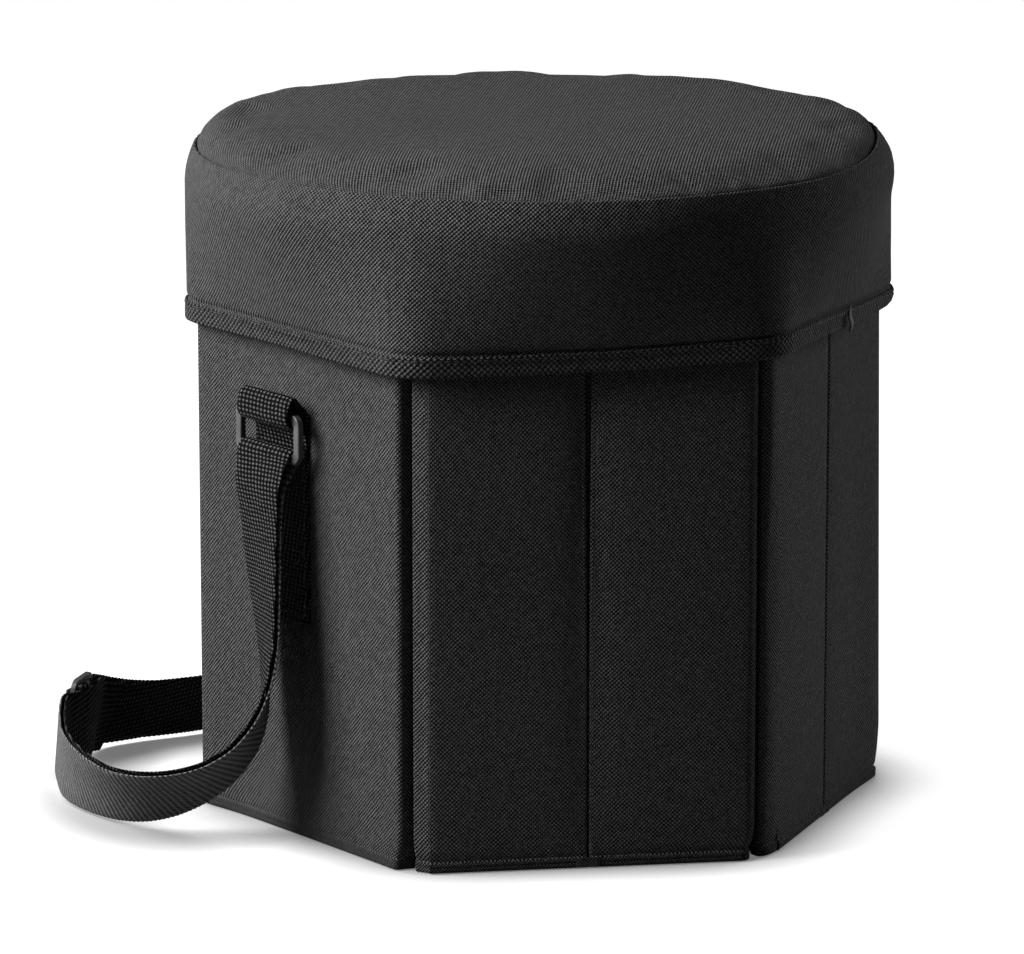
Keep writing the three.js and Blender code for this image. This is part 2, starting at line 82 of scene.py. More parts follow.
# Each with the distance from the axis at which the flat face starts.
LOBES = {"lobe": (LOBE, 3.4), "soft": (SOFT_LOBE, 10.0)}
# Plain panel ends at a corner: swell and radius.
EDGES = {"edge": (0.3, 2.6), "round": (2.2, 5.0), "full": (4.0, 5.5)}

# Heights up the hem, and how far the hem stands out from the face there.
HEM_STEPS = [0, 0.7, 2.1, 2.5, 2.9, 4.1, HEM_HEIGHT, 5.2, 7.5]
HEM_STANDS = [0.1, 0.7, 0.75, 0.5, 0.75, 0.7, 0.3, -0.35, 0]
WALL_LEVELS = [
    0, 0.7, 1.4, 1.5, 2.1, 2.5, 2.9, 4.1, HEM_HEIGHT, 5.2, 6.2, 7.5, 9.5, 12, 15,
    *np.arange(18.5, 294, 3.9), 296.4, 296.5, 297.3, WALL_HEIGHT,
]

# Lid
HEM_APOTHEM = 147.0
HEM_CORNER = 26.0
SKIRT_FOOT = 235.1
SEAM_HEIGHT = 307.5
SEAM_RADIUS = 161.5
SHOULDER_RADIUS = 165.0
SHOULDER_HEIGHT = 292.0
TAPE_TOP = SKIRT_FOOT + 3.8
TAPE_FOOT = SKIRT_FOOT - 5.6
SKIRT_LEVELS = [
    SKIRT_FOOT, 237, TAPE_TOP, 239.5, 240.2, 241, 242.2, 244.2, *np.arange(247, 291, 4.0),
    292, 295, 298, 300.5, 302.5, 304.4, 306, 307.1, SEAM_HEIGHT,
]
LID_STEPS = 324
LID_UV_RADIUS = 156
# Seat profile (radius, height), and the height taken off where the front edge is sat flat.
CUSHION = [
    (0, 319.8), (45, 319.8), (85, 319.7), (108, 319.55), (122, 319.4), (134, 319.1),
    (143, 318.5), (149.5, 317.3), (154.6, 315.3), (158.2, 312.6), (159.9, 309.4), (159.2, 306.0),
]
SAT_FLAT = [0, 0, 0.1, 0.6, 1.7, 3.2, 4.4, 5.0, 4.8, 3.6, 1.6, 0]

# Strap. A route entry is a point and the heading and dip of the direction across, in degrees.
SIGN = {"left": -1, "right": 1}
WEB_WIDTH = 38.0
WEB_THICK = 1.6
ANCHOR_Y = 9.0
RING_PIVOT = (150.6, 198.3)
RING_TILT = 0.01
RING_SPAN = 18.4
WRAP_RADIUS = 3.7
LEG_SPREAD = 1.2
OVER_BAR = 2.5
TAIL_LIFT = 4.0
TAIL_STEP = 0.6
ROW_STEPS = 3
SCALLOP = 0.24
SCALLOP_PITCH = 2.3
STITCH_PITCH = 3.3
# Stations across the webbing, closer together at the selvedges.
EDGE_STOPS = np.array([-1, -0.96, -0.86, -0.62, -0.3, 0, 0.3, 0.62, 0.86, 0.96, 1])
LOOP_ROUTE = [
    (-156.2, 8.4, 166.3, 84, 2), (-157, 7.4, 148.1, 79, 3), (-157.1, 6, 129.9, 75, 3),
    (-157, 4.4, 111.8, 70, 3), (-157.2, 2.8, 93.9, 65, 4), (-158.9, 1.8, 76.3, 57, 5),
    (-162.5, 2.3, 59.9, 46, 9), (-169.1, 5.8, 45.4, 36, 14), (-177.8, 13.2, 34.1, 28, 22),
    (-186.9, 24, 26.2, 20, 31), (-195.1, 37.1, 21.1, 15, 41), (-201.1, 51.7, 18.6, 9, 50),
    (-203.9, 67.3, 18.6, 5, 60), (-203.6, 83.3, 19.6, 3, 69), (-200.4, 99.1, 20.6, 8, 78),
    (-194.4, 114.6, 21.4, 42, 86), (-185.2, 130.4, 22.9, 112, 87),
]
# Points along the strap at the joints between the parts it runs over, metres.
LEFT_HANG, LEFT_EYE = (-0.157, 0.004, 0.105), (-0.156, 0.0085, 0.174)
RIGHT_HANG, RIGHT_EYE = (0.158, 0.02, 0.105), (0.155, -0.009, 0.174)
LOOP_TURN, SLIDER_IN = (-0.2036, 0.0833, 0.0196), (-0.176, 0.142, 0.0222)
SLIDER_OUT, BACK_START = (-0.147, 0.162, 0.021), (-0.105, 0.1728, 0.0181)
SLIDER_AT = (-160.4, 152.8, 24.6)
SLIDER_HEADING = 125
SLIDER_DIP = 84
BACK_ROUTE = [
    (-138, 172.6, 21.6, 110, 76), (-123, 175.6, 19.2, 94, 66), (-105, 172.8, 18.1, 83, 60),
    (-75, 166.5, 18, 81, 60), (-40, 166.5, 18.3, 86, 63), (0, 172, 19, 90, 68),
    (40, 172.5, 19.3, 84, 74), (78, 167, 19.6, 76, 78), (112, 152.5, 20.2, 64, 82),
    (140, 130, 21.5, 46, 84), (157.5, 103, 24, 20, 84), (164, 80, 30, 345, 80),
]
RISE_ROUTE = [
    (164.5, 61, 44, 308, 66), (162, 45, 66, 294, 48), (159, 28, 95, 284, 30),
    (157, 12, 125, 277, 14), (156, 0, 150, 273, 5), (155.4, -7, 168, 270, 0),
]

# Panel, the way it faces in degrees, and its ends at low and high u.
FRONT_RIGHT = 300
PANELS = [
    ("left_wall", 180, "full", "edge"),
    ("front_left_side", 240, "lobe", "fold"),
    ("front_left_centre", 240, "fold", "round"),
    ("front_right_centre", 300, "soft", "fold"),
    ("front_right_side", 300, "fold", "round"),
    ("right_wall", 0, "lobe", "lobe"),
    ("back_left_side", 120, "fold", "lobe"),
    ("back_left_centre", 120, "round", "fold"),
    ("back_right_centre", 60, "fold", "lobe"),
    ("back_right_side", 60, "round", "fold"),
]
FACING = {panel[0]: panel[1] for panel in PANELS}

CAMERA_LENS = 209.77
CAMERA_PLACE = (-1.70409, -2.13086, 0.76203)
CAMERA_AIM = (-0.01084, 0.00867, 0.14909)


def add_object(name, data):
    obj = bpy.data.objects.new(name, data)
    bpy.context.scene.collection.objects.link(obj)
    return obj


def aimed_object(name, data, place, aim):
    obj = add_object(name, data)
    obj.location = place
    obj.rotation_euler = (Vector(aim) - Vector(place)).to_track_quat("-Z", "Y").to_euler()
    return obj


def make_camera():
    data = bpy.data.cameras.new("photo_camera")
    data.sensor_width = 36.0
    data.lens = CAMERA_LENS
    data.clip_start, data.clip_end = 0.1, 50.0
    bpy.context.scene.camera = aimed_object("photo_camera", data, CAMERA_PLACE, CAMERA_AIM)


make_camera()


# Mesh helpers


def finish_mesh(name, verts, faces, loop_uv=None, sharp=55, materials=(), face_material=None):
    mesh = bpy.data.meshes.new(name)
    mesh.from_pydata([tuple(v) for v in np.asarray(verts, float) * MM], [], faces)
    if loop_uv is not None:
        layer = mesh.uv_layers.new(name="cloth")
        layer.data.foreach_set("uv", (np.asarray(loop_uv, float) * MM).ravel())
    for material in materials:
        mesh.materials.append(material)
    if face_material is not None:
        mesh.polygons.foreach_set("material_index", face_material)
    bm = bmesh.new()
    bm.from_mesh(mesh)
    bmesh.ops.recalc_face_normals(bm, faces=bm.faces)
    bm.to_mesh(mesh)
    bm.free()
    mesh.shade_smooth()
    mesh.set_sharp_from_angle(angle=math.radians(sharp))
    return add_object(name, mesh)


def grid_faces(points, uv, wrap_cols, wrap_rows=False, caps=False):
    """Quads over rows x columns of points, with a loop UV for each corner."""
    rows, cols = points.shape[:2]
    faces, loops, row_of = [], [], []
    for r in range(rows if wrap_rows else rows - 1):
        for c in range(cols if wrap_cols else cols - 1):
            corners = [(r, c), (r, c + 1), (r + 1, c + 1), (r + 1, c)]
            faces.append([(i % rows) * cols + (k % cols) for i, k in corners])
            loops += [uv[i, k] for i, k in corners]
            row_of.append(r)
    if caps:
        for r in (0, rows - 1):
            faces.append([r * cols + c for c in range(cols)])
            loops += [points[r, c, :2] for c in range(cols)]
            row_of.append(r)
    return faces, loops, row_of


def tube(name, rings, uvs, material, closed=False, sharp=55):
    """Skin over a row of closed rings, capped at its ends unless the row itself is closed."""
    points = np.array(rings)
    faces, loops, _ = grid_faces(points, np.array(uvs), True, closed, not closed)
    return finish_mesh(name, points.reshape(-1, 3), faces, loops, sharp, [material])


def lengths_along(points):
    steps = np.linalg.norm(np.diff(points, axis=0), axis=1)
    return np.concatenate([[0], np.cumsum(steps)])


def closed_lengths(ring):
    return lengths_along(np.vstack([ring, ring[:1]]))


def at_height(values, z):
    return np.column_stack([values, np.full(len(values), z)])


def prism(name, ring, levels, material):
    """Closed plan outline carried up through the levels."""
    girth = closed_lengths(ring)
    rings = [at_height(ring, z) for z in levels]
    return tube(name, rings, [at_height(girth, z) for z in levels], material)


def rim_indices(rows, cols):
    last = (rows - 1) * cols
    return (
        [*range(cols), *(r * cols + cols - 1 for r in range(1, rows))]
        + [last + k for k in range(cols - 2, -1, -1)] + [r * cols for r in range(rows - 2, 0, -1)]
    )


def quilt(name, face, back, uv, looks, sharp=60):
    """Two grids of points joined round the rim; a second look goes on the back and the rim."""
    rows, cols = uv.shape[:2]
    total = rows * cols
    faces, loops, _ = grid_faces(face, uv, False)
    shown = len(faces)
    faces += [[i + total for i in corners] for corners in faces]
    loops += loops
    rim, flat = rim_indices(rows, cols), uv.reshape(-1, 2)
    for i, j in zip(rim, rim[1:] + rim[:1]):
        faces.append([i, j, j + total, i + total])
        loops += [flat[k] for k in (i, j, j, i)]
    which = [0] * shown + [len(looks) - 1] * (len(faces) - shown)
    verts = np.vstack([face.reshape(-1, 3), back.reshape(-1, 3)])
    return finish_mesh(name, verts, faces, loops, sharp, looks, which)


def ripple(a, b, seed, waves=5):
    """Smooth repeatable unevenness between about -1 and 1 over two coordinates."""
    rng = np.random.default_rng(seed)
    total = 0
    for _ in range(waves):
        kx, ky = rng.normal(0, 1, 2)
        total = total + np.sin(kx * a + ky * b + rng.uniform(0, TAU))
    return total / waves * 1.4


# Materials


class Nodes:
    """Short way to add and link shader nodes of one material."""

    def __init__(self, name):
        self.material = bpy.data.materials.new(name)
        self.material.use_nodes = True
        self.tree = self.material.node_tree
        self.bsdf = self.tree.nodes["Principled BSDF"]

    def add(self, kind, **settings):
        node = self.tree.nodes.new(kind)
        for key, value in settings.items():
            setattr(node, key, value)
        return node

    def put(self, value, socket):
        if isinstance(value, bpy.types.NodeSocket):
            self.tree.links.new(value, socket)
        else:
            socket.default_value = value

    def math(self, operation, *values):
        node = self.add("ShaderNodeMath", operation=operation)
        for value, socket in zip(values, node.inputs):
            self.put(value, socket)
        return node.outputs[0]

    def wave(self, value, period):
        return self.math("SINE", self.math("MULTIPLY", value, TAU / period))

    def remap(self, value, low, high, to_low, to_high):
        node = self.add("ShaderNodeMapRange")
        for item, socket in zip((value, low, high, to_low, to_high), node.inputs):
            self.put(item, socket)
        return node.outputs[0]

    def noise(self, vector, scale, detail=3.0, roughness=0.55):
        node = self.add("ShaderNodeTexNoise")
        self.put(vector, node.inputs["Vector"])
        node.inputs["Scale"].default_value = scale
        node.inputs["Detail"].default_value = detail
        node.inputs["Roughness"].default_value = roughness
        return node.outputs[0]

    def ramp(self, value, stops):
        node = self.add("ShaderNodeValToRGB")
        self.put(value, node.inputs[0])
        ramp = node.color_ramp
        while len(ramp.elements) < len(stops):
            ramp.elements.new(0.5)
        for element, (at, colour) in zip(ramp.elements, stops):
            element.position = at
            element.color = (*colour, 1)
        return node.outputs[0]

    def bump(self, height, distance, strength=1.0):
        node = self.add("ShaderNodeBump")
        node.inputs["Strength"].default_value = strength
        node.inputs["Distance"].default_value = distance
        self.put(height, node.inputs["Height"])
        self.tree.links.new(node.outputs[0], self.bsdf.inputs["Normal"])

    def set(self, **values):
        for key, value in values.items():
            self.put(value, self.bsdf.inputs[key.replace("_", " ")])
        return self.material

    def cloth_axes(self):
        uv = self.add("ShaderNodeUVMap", uv_map="cloth").outputs[0]
        axes = self.add("ShaderNodeSeparateXYZ")
        self.put(uv, axes.inputs[0])
        return axes.outputs[0], axes.outputs[1]

    def place(self):
        return self.add("ShaderNodeTexCoord").outputs["Object"]


def grey(level):
    return (level, level * 1.005, level)


def woven(name, dark, light, pitch, depth, rough=0.86):
    """Plain weave of thick yarn: raised crossings on a chequer of pitch metres, painted lighter,
    with the hollows between them painted darker as shade.
    """
    n = Nodes(name)
    u, v = n.cloth_axes()
    place = n.place()
    drift = n.math("MULTIPLY", n.noise(place, 60.0, 2.0), 0.0011)
    warp = n.wave(n.math("ADD", u, drift), 2 * pitch)
    weft = n.wave(n.math("ADD", v, drift), 2 * pitch)
    cross = n.math("MULTIPLY", warp, weft)
    slub = n.remap(n.noise(place, 420.0, 2.0), 0.3, 0.7, -0.3, 0.3)
    height = n.math("ADD", cross, slub)
    fade = n.remap(n.noise(place, 9.0, 3.0), 0.3, 0.7, -0.08, 0.08)
    # Colour follows the weave's height: crossings painted lighter and hollows painted darker as the
    # weave's painted light and shade, with a random tone on top.
    shade = n.remap(n.math("ADD", height, fade), -0.9, 0.9, 0.0, 1.0)
    colour = n.ramp(shade, [(0.14, grey(dark)), (0.86, grey(light))])
    n.bump(height, depth)
    roughness = n.remap(height, -1, 1, rough + 0.1, rough - 0.06)
    return n.set(
        Base_Color=colour, Roughness=roughness, Specular_IOR_Level=0.12,
        Sheen_Weight=0.03, Sheen_Roughness=0.45,
    )


def webbing(name, dark, light, across, along, slant, ground):
    """Webbing: yarn dashes in rows, the columns leaning; the dashes painted light and the gaps
    below the ground level painted near black as shade.
    """
    n = Nodes(name)
    u, v = n.cloth_axes()
    place = n.place()
    drift = n.math("MULTIPLY", n.noise(place, 90.0, 2.0), 0.0009)
    column = n.wave(n.math("ADD", n.math("MULTIPLY_ADD", v, slant, u), drift), across)
    row = n.wave(n.math("ADD", v, drift), along)
    height = n.math("MULTIPLY_ADD", n.math("ADD", column, row), 0.25, 0.5)
    height = n.math("ADD", height, n.remap(n.noise(place, 500.0, 2.0), 0.3, 0.7, -0.1, 0.1))
    # Yarn tops painted light and the gaps between them near black: the weave's painted light and
    # shade.
    colour = n.ramp(height, [(ground, grey(dark)), (0.88, grey(light))])
    n.bump(height, 0.0008)
    roughness = n.remap(height, 0, 1, 0.92, 0.7)
    return n.set(Base_Color=colour, Roughness=roughness, Specular_IOR_Level=0.06)


def thread(name, level):
    n = Nodes(name)
    place = n.place()
    twist = n.noise(place, 2400.0, 2.0)
    colour = n.ramp(twist, [(0.3, grey(level * 0.6)), (0.7, grey(level * 1.3))])
    n.bump(twist, 0.0001, 0.6)
    roughness = n.remap(twist, 0, 1, 0.55, 0.8)
    return n.set(Base_Color=colour, Roughness=roughness, Specular_IOR_Level=0.3)


def plastic(name, level):
    """Moulded plastic with a fine grain, paler and smoother in random patches."""
    n = Nodes(name)
    place = n.place()
    grain = n.noise(place, 1900.0, 3.0)
    pale_patch = n.noise(place, 70.0, 4.0)
    colour = n.ramp(pale_patch, [(0.35, grey(level * 0.8)), (0.75, grey(level * 1.5))])
    n.bump(grain, 0.00006, 0.5)
    roughness = n.remap(pale_patch, 0.3, 0.7, 0.42, 0.28)
    return n.set(Base_Color=colour, Roughness=roughness, Specular_IOR_Level=0.5)


def foil(name):
    """Foil laminated on foam: crinkled, bright, with dull patches."""
    n = Nodes(name)
    place = n.place()
    crinkle = n.noise(place, 120.0, 8.0, 0.62)
    cells = n.add("ShaderNodeTexVoronoi", feature="DISTANCE_TO_EDGE")
    n.put(place, cells.inputs["Vector"])
    cells.inputs["Scale"].default_value = 90.0
    ridge = n.remap(cells.outputs["Distance"], 0.0, 0.12, 1.0, 0.0)
    height = n.math("MULTIPLY_ADD", ridge, 0.35, crinkle)
    tone = n.noise(place, 22.0, 3.0)
    colour = n.ramp(tone, [(0.3, (0.50, 0.52, 0.55)), (0.7, (0.68, 0.70, 0.73))])
    n.bump(height, 0.0009, 0.7)
    return n.set(Base_Color=colour, Metallic=0.85, Roughness=n.remap(tone, 0.3, 0.7, 0.24, 0.42))


def board(name):
    n = Nodes(name)
    place = n.place()
    fibre = n.noise(place, 260.0, 6.0, 0.7)
    patch = n.noise(place, 14.0, 3.0)
    blend = n.math("MULTIPLY_ADD", patch, 0.5, n.math("MULTIPLY", fibre, 0.5))
    colour = n.ramp(blend, [(0.3, (0.20, 0.13, 0.07)), (0.7, (0.36, 0.25, 0.14))])
    n.bump(fibre, 0.0003, 0.5)
    return n.set(Base_Color=colour, Roughness=n.remap(fibre, 0, 1, 0.95, 0.75))


POLYESTER = woven("polyester_weave", 0.007, 0.126, 0.00097, 0.00055)
TAPE = woven("binding_tape", 0.004, 0.090, 0.00135, 0.00070)
WEBBING = webbing("strap_webbing", 0.0008, 0.090, 0.0028, 0.0019, 0.22, 0.56)
# Inner side of the strap: a twill face painted far paler than the outer webbing, as painted light
# where the lower loop lies by the floor.
TWILL_PAINTED_LIGHT = webbing("strap_twill_painted_light", 0.030, 0.260, 0.0019, 0.0030, 0.75, 0.20)
THREAD = thread("sewing_thread", 0.03)
# Near-black thread; on the tape's turned end it is painted shade.
LOOSE_END = thread("dark_thread", 0.006)
HEM = woven("hem_tape", 0.005, 0.085, 0.00075, 0.00040)
PLASTIC = plastic("moulded_plastic", 0.05)
FOIL = foil("foil_on_foam")
BOARD = board("hardboard")


def dress(obj, body, nodes=()):
    if body:
        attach(obj, body)
    if nodes:
        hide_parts(*nodes)


# Strap route, millimetres. A row lists points, directions across and directions off the webbing.


def unit(v):
    v = np.asarray(v, float)
    return v / np.linalg.norm(v)


def station(entry):
    x, y, z, heading, dip = entry
    h, d = math.radians(heading), math.radians(dip)
    across = np.array([math.cos(h) * math.cos(d), math.sin(h) * math.cos(d), -math.sin(d)])
    return np.array([x, y, z], float), across


def curve_point(points, t):
    """Point of a centripetal Catmull-Rom curve; t counts points."""
    last = len(points) - 1
    k = min(int(t), last - 1)
    p1, p2 = points[k], points[k + 1]
    p0 = points[k - 1] if k > 0 else 2 * p1 - p2
    p3 = points[k + 2] if k + 2 <= last else 2 * p2 - p1
    spans = ((p0, p1), (p1, p2), (p2, p3))
    d0, d1, d2 = (max(1e-4, np.linalg.norm(b - a) ** 0.5) for a, b in spans)
    t1 = ((p1 - p0) / d0 - (p2 - p0) / (d0 + d1) + (p2 - p1) / d1) * d1
    t2 = ((p2 - p1) / d1 - (p3 - p1) / (d1 + d2) + (p3 - p2) / d2) * d1
    s = t - k
    c2 = -3 * p1 + 3 * p2 - 2 * t1 - t2
    c3 = 2 * p1 - 2 * p2 + t1 + t2
    return p1 + t1 * s + c2 * s * s + c3 * s**3


def smooth_row(stations, steps):
    points = [p for p, _ in stations]
    total = (len(stations) - 1) * steps
    row = []
    for i in range(total + 1):
        t = i / steps
        k = min(len(stations) - 2, int(t))
        across = stations[k][1] * (1 - (t - k)) + stations[k + 1][1] * (t - k)
        here = curve_point(points, t)
        ahead = curve_point(points, min(t + 0.02, total / steps))
        behind = curve_point(points, max(t - 0.02, 0))
        along = unit(ahead - behind)
        across = unit(across - along * across.dot(along))
        row.append((here, across, np.cross(across, along)))
    return row


def layer(row, sign):
    moved = []
    for i, (p, across, off) in enumerate(row):
        wide = (WRAP_RADIUS - LEG_SPREAD) * max(0, 1 - i / (2 * ROW_STEPS)) ** 2
        moved.append((p + off * sign * (LEG_SPREAD + wide), across, off))
    return moved


def lower_bar(side):
    """Middle of the ring's lower bar."""
    out = RING_PIVOT[0] + RING_SPAN * math.sin(RING_TILT)
    z = RING_PIVOT[1] - RING_SPAN * math.cos(RING_TILT)
    return np.array([SIGN[side] * out, -SIGN[side] * ANCHOR_Y, z])


def across_tab(side):
    return np.array([0.0, -SIGN[side], 0.0])


def wrap_row(side, first, last, count=9):
    row = []
    for k in range(count):
        turn = first + (last - first) * k / (count - 1)
        off = np.array([-SIGN[side] * math.cos(turn), 0, math.sin(turn)])
        row.append((lower_bar(side) + off * WRAP_RADIUS, across_tab(side), off))
    return row


def at_slider(steps):
    p, across = station((*SLIDER_AT, SLIDER_HEADING, SLIDER_DIP))
    h = math.radians(SLIDER_HEADING - 90)
    along = np.array([math.cos(h), math.sin(h), 0])
    off = np.cross(across, along)
    return [(p + along * a + off * o, across, off) for a, o in steps]


def dense_row(row, spacing=0.62):
    """The same run with rows close enough together to carry the scalloped selvedge."""
    points = [p for p, _, _ in row]
    fine = []
    for k in range(len(row) - 1):
        count = max(1, round(np.linalg.norm(points[k + 1] - points[k]) / spacing))
        for i in range(count + (k == len(row) - 2)):
            s = i / count
            across = unit(row[k][1] * (1 - s) + row[k + 1][1] * s)
            off = row[k][2] * (1 - s) + row[k + 1][2] * s
            off = unit(off - across * off.dot(across))
            fine.append((curve_point(points, k + s), across, off))
    return fine


def ribbon(name, row, start=0.0, look=WEBBING):
    """Flat webbing with rounded, scalloped selvedges. The UV is across and along it."""
    fine = dense_row(row)
    centre = np.array([p for p, _, _ in fine])
    run = lengths_along(centre) + start
    half, thick = WEB_WIDTH / 2, WEB_THICK / 2
    scallop = SCALLOP * np.sin(run / SCALLOP_PITCH * TAU)
    swell = np.sqrt(np.clip(1 - np.abs(EDGE_STOPS) ** 14, 0.05, 1))
    rings, uvs = [], []
    for i, (p, across, off) in enumerate(fine):
        reach = half + scallop[i] * np.abs(EDGE_STOPS) ** 20
        top = [p + across * s * r + off * thick * t for s, r, t in zip(EDGE_STOPS, reach, swell)]
        low = [p + across * s * r - off * thick * t for s, r, t in zip(EDGE_STOPS, reach, swell)]
        rings.append(top + low[::-1])
        cols = list(EDGE_STOPS * half) + list(EDGE_STOPS[::-1] * half)
        uvs.append([(c, run[i]) for c in cols + cols[:1]])
    return tube(name, rings, uvs, look), centre * MM, run[-1]


def strap_rows():
    bar = lower_bar("left")
    ring_end = station((*bar, 90, 0))
    entry = [(p, a) for p, a, _ in at_slider([(-22, 0), (-16.5, 0)])]
    middle = smooth_row([ring_end, *map(station, LOOP_ROUTE), *entry], ROW_STEPS)
    weave, cap = OVER_BAR, OVER_BAR + WEB_THICK + 0.6
    bar = lower_bar("right")
    end = station((bar[0] + WRAP_RADIUS, bar[1], bar[2], 270, 0))
    first = [(p, a) for p, a, _ in at_slider([(17, -weave + 0.8)])]
    run = smooth_row([*first, *map(station, BACK_ROUTE + RISE_ROUTE), end], ROW_STEPS)
    lie = [(-12, weave), (-7, weave + 1.2), (-2, cap), (4, cap), (9.5, cap - 0.5)]
    lifts = [TAIL_LIFT + TAIL_STEP * max(0, 1 - k / 3) ** 2 for k in range(6)]
    strap_end = [(p + o * lift, a, o) for (p, a, o), lift in zip(run, lifts)]
    start = wrap_row("left", 0, math.pi * 0.94)
    outer = start + layer(middle, 1)[1:] + at_slider(lie) + strap_end
    down = [(-13, -weave), (-9.2, -weave), (-5.2, 0), (-1.9, weave), (-0.2, weave)]
    inner = layer(middle, -1) + at_slider(down)
    p, a, o = wrap_row("left", -0.16, 0)[0]
    inner[0] = (p, a, -o)
    up = [(0.2, weave), (1.9, weave), (5.2, 0), (9.2, -weave), (13, -weave)]
    cut = (len(BACK_ROUTE) - 1) * ROW_STEPS
    back = at_slider(up) + run[: cut + 1]
    climb = run[cut:]
    over = [(p, a, -o) for p, a, o in wrap_row("right", math.pi, 0)]
    x, y, z = bar
    tail = [
        (np.array([x - WRAP_RADIUS + d * 0.12, y, z - d]), over[0][1], np.array([1.0, 0, 0]))
        for d in (10, 22, 34)
    ]
    return outer, inner, back, climb + over[1:] + tail


def ribbons(name, row, split, look=WEBBING):
    """One run of webbing as two pieces that meet at a row."""
    first, line, length = ribbon(name + "_webbing", row[: split + 1], look=look)
    second, rest, total = ribbon(name + "_end_webbing", row[split:], length, look)
    return (first, line, length), (second, rest, total - length)


def build_strap():
    outer_row, inner_row, back_row, rise_row = strap_rows()
    turn = 13 * ROW_STEPS
    outer_parts = ribbons("strap_outer", outer_row, turn + 9)
    (outer, outer_line, outer_length), (outer_end, _, _) = outer_parts
    # The inner layer takes the paler twill: painted light.
    (inner, _, _), (inner_end, _, _) = ribbons("strap_inner", inner_row, turn, TWILL_PAINTED_LIGHT)
    back_parts = ribbons("strap_back", back_row, 5 + 3 * ROW_STEPS)
    (back_start, _, _), (back, back_line, back_length) = back_parts
    rise, rise_line, rise_length = ribbon("strap_rise_webbing", rise_row)
    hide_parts("strap_outer_layer")
    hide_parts("strap_inner_layer")
    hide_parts("strap_back_run")
    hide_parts("strap_right_rise")
    for piece, first, second, start, end in (
        (outer, "left_wall", "left_ring", LEFT_HANG, LEFT_EYE),
        (inner, "left_wall", "left_ring", LEFT_HANG, LEFT_EYE),
        (outer_end, "left_wall", "strap_slider", LOOP_TURN, SLIDER_IN),
        (inner_end, "left_wall", "strap_slider", LOOP_TURN, SLIDER_IN),
        (back_start, "strap_slider", "left_wall", SLIDER_OUT, BACK_START),
        (rise, "right_wall", "right_ring", RIGHT_HANG, RIGHT_EYE),
    ):
        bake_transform(piece)
    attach(back, "left_wall")
    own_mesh(back)


build_strap()


# Walls


def on_wall(facing, u, w):
    """Plan point of a wall's own u and w."""
    cos, sin = math.cos(math.radians(facing)), math.sin(math.radians(facing))
    reach, u = HINGE_APOTHEM + np.asarray(w, float), np.asarray(u, float)
    return np.stack([reach * cos - u * sin, reach * sin + u * cos], -1)


def fold_gap(z, facing):
    """Half the width of a middle fold, which opens toward the lid, the front right one least."""
    wide = 0.4 if facing == FRONT_RIGHT else 2.0
    return float(np.interp(z, [0, 90, 190, WALL_HEIGHT], [0.25, 0.3, 0.2 + wide * 0.45, wide]))


def end_profile(kind, side, grow, tuck, gap=FOLD_GAP):
    """One end of a panel in (u, w), from the inner face to the outer face."""
    top = OUTER + grow
    points = []
    if kind in LOBES:
        axis = side * HALF_WALL
        outline, face = LOBES[kind]
        for reach, out, share in outline:
            u = axis + side * (reach + (grow - tuck) * share)
            points.append((u, out + (grow - tuck * 0.25) * share))
        return points + [(axis - side * face, top)]
    if kind == "fold":
        radius, wall = FOLD_RADIUS * min(1, 0.25 + gap * 0.5), -side * gap
        swell = tuck = 0.0
    else:
        swell, radius = EDGES[kind]
        wall = side * (HALF_WALL - CORNER_GAP)
    points = [(wall, INNER), (wall + side * swell * 0.25, INNER + 2.5)]
    for k in range(9):
        turn = math.pi / 2 * k / 8
        inset = radius * (1 - math.cos(turn)) + tuck - swell
        points.append((wall - side * inset, top - radius + radius * math.sin(turn)))
    return points


def panel_ends(panel, step=-1):
    """Lowest and highest u of a panel: of its outer face, or of its inner face at step 0."""
    low = end_profile(panel[2], -1, 0, 0)[step][0]
    return low, end_profile(panel[3], 1, 0, 0)[step][0]
def pad_relief(u, z, low, high, seed, folds):
    """Millimetres that the padded face stands out: soft crown, slack and puckers above the hem."""
    s = (u - low) / (high - low) * 2 - 1
    rise = 1 - np.exp(-np.maximum(z - 4, 0) / 14)
    crown = 0.6 * (1 - np.abs(s) ** 3) * rise
    deep = float(np.interp(z, [0, 40, 160], [0, 0.8, 1.9]))
    dip = sum(deep * np.exp(-np.abs(u - end) / 6.5) for end in folds)
    slack = 0.2 * ripple(u / 26, z / 62, seed) * rise * (1 - s**8)
    pucker = 0.16 * np.sin(u / 8.7 * TAU + seed) * np.exp(-np.abs(z - 8) / 7) * (z > 5.2)
    return crown + slack + pucker - dip


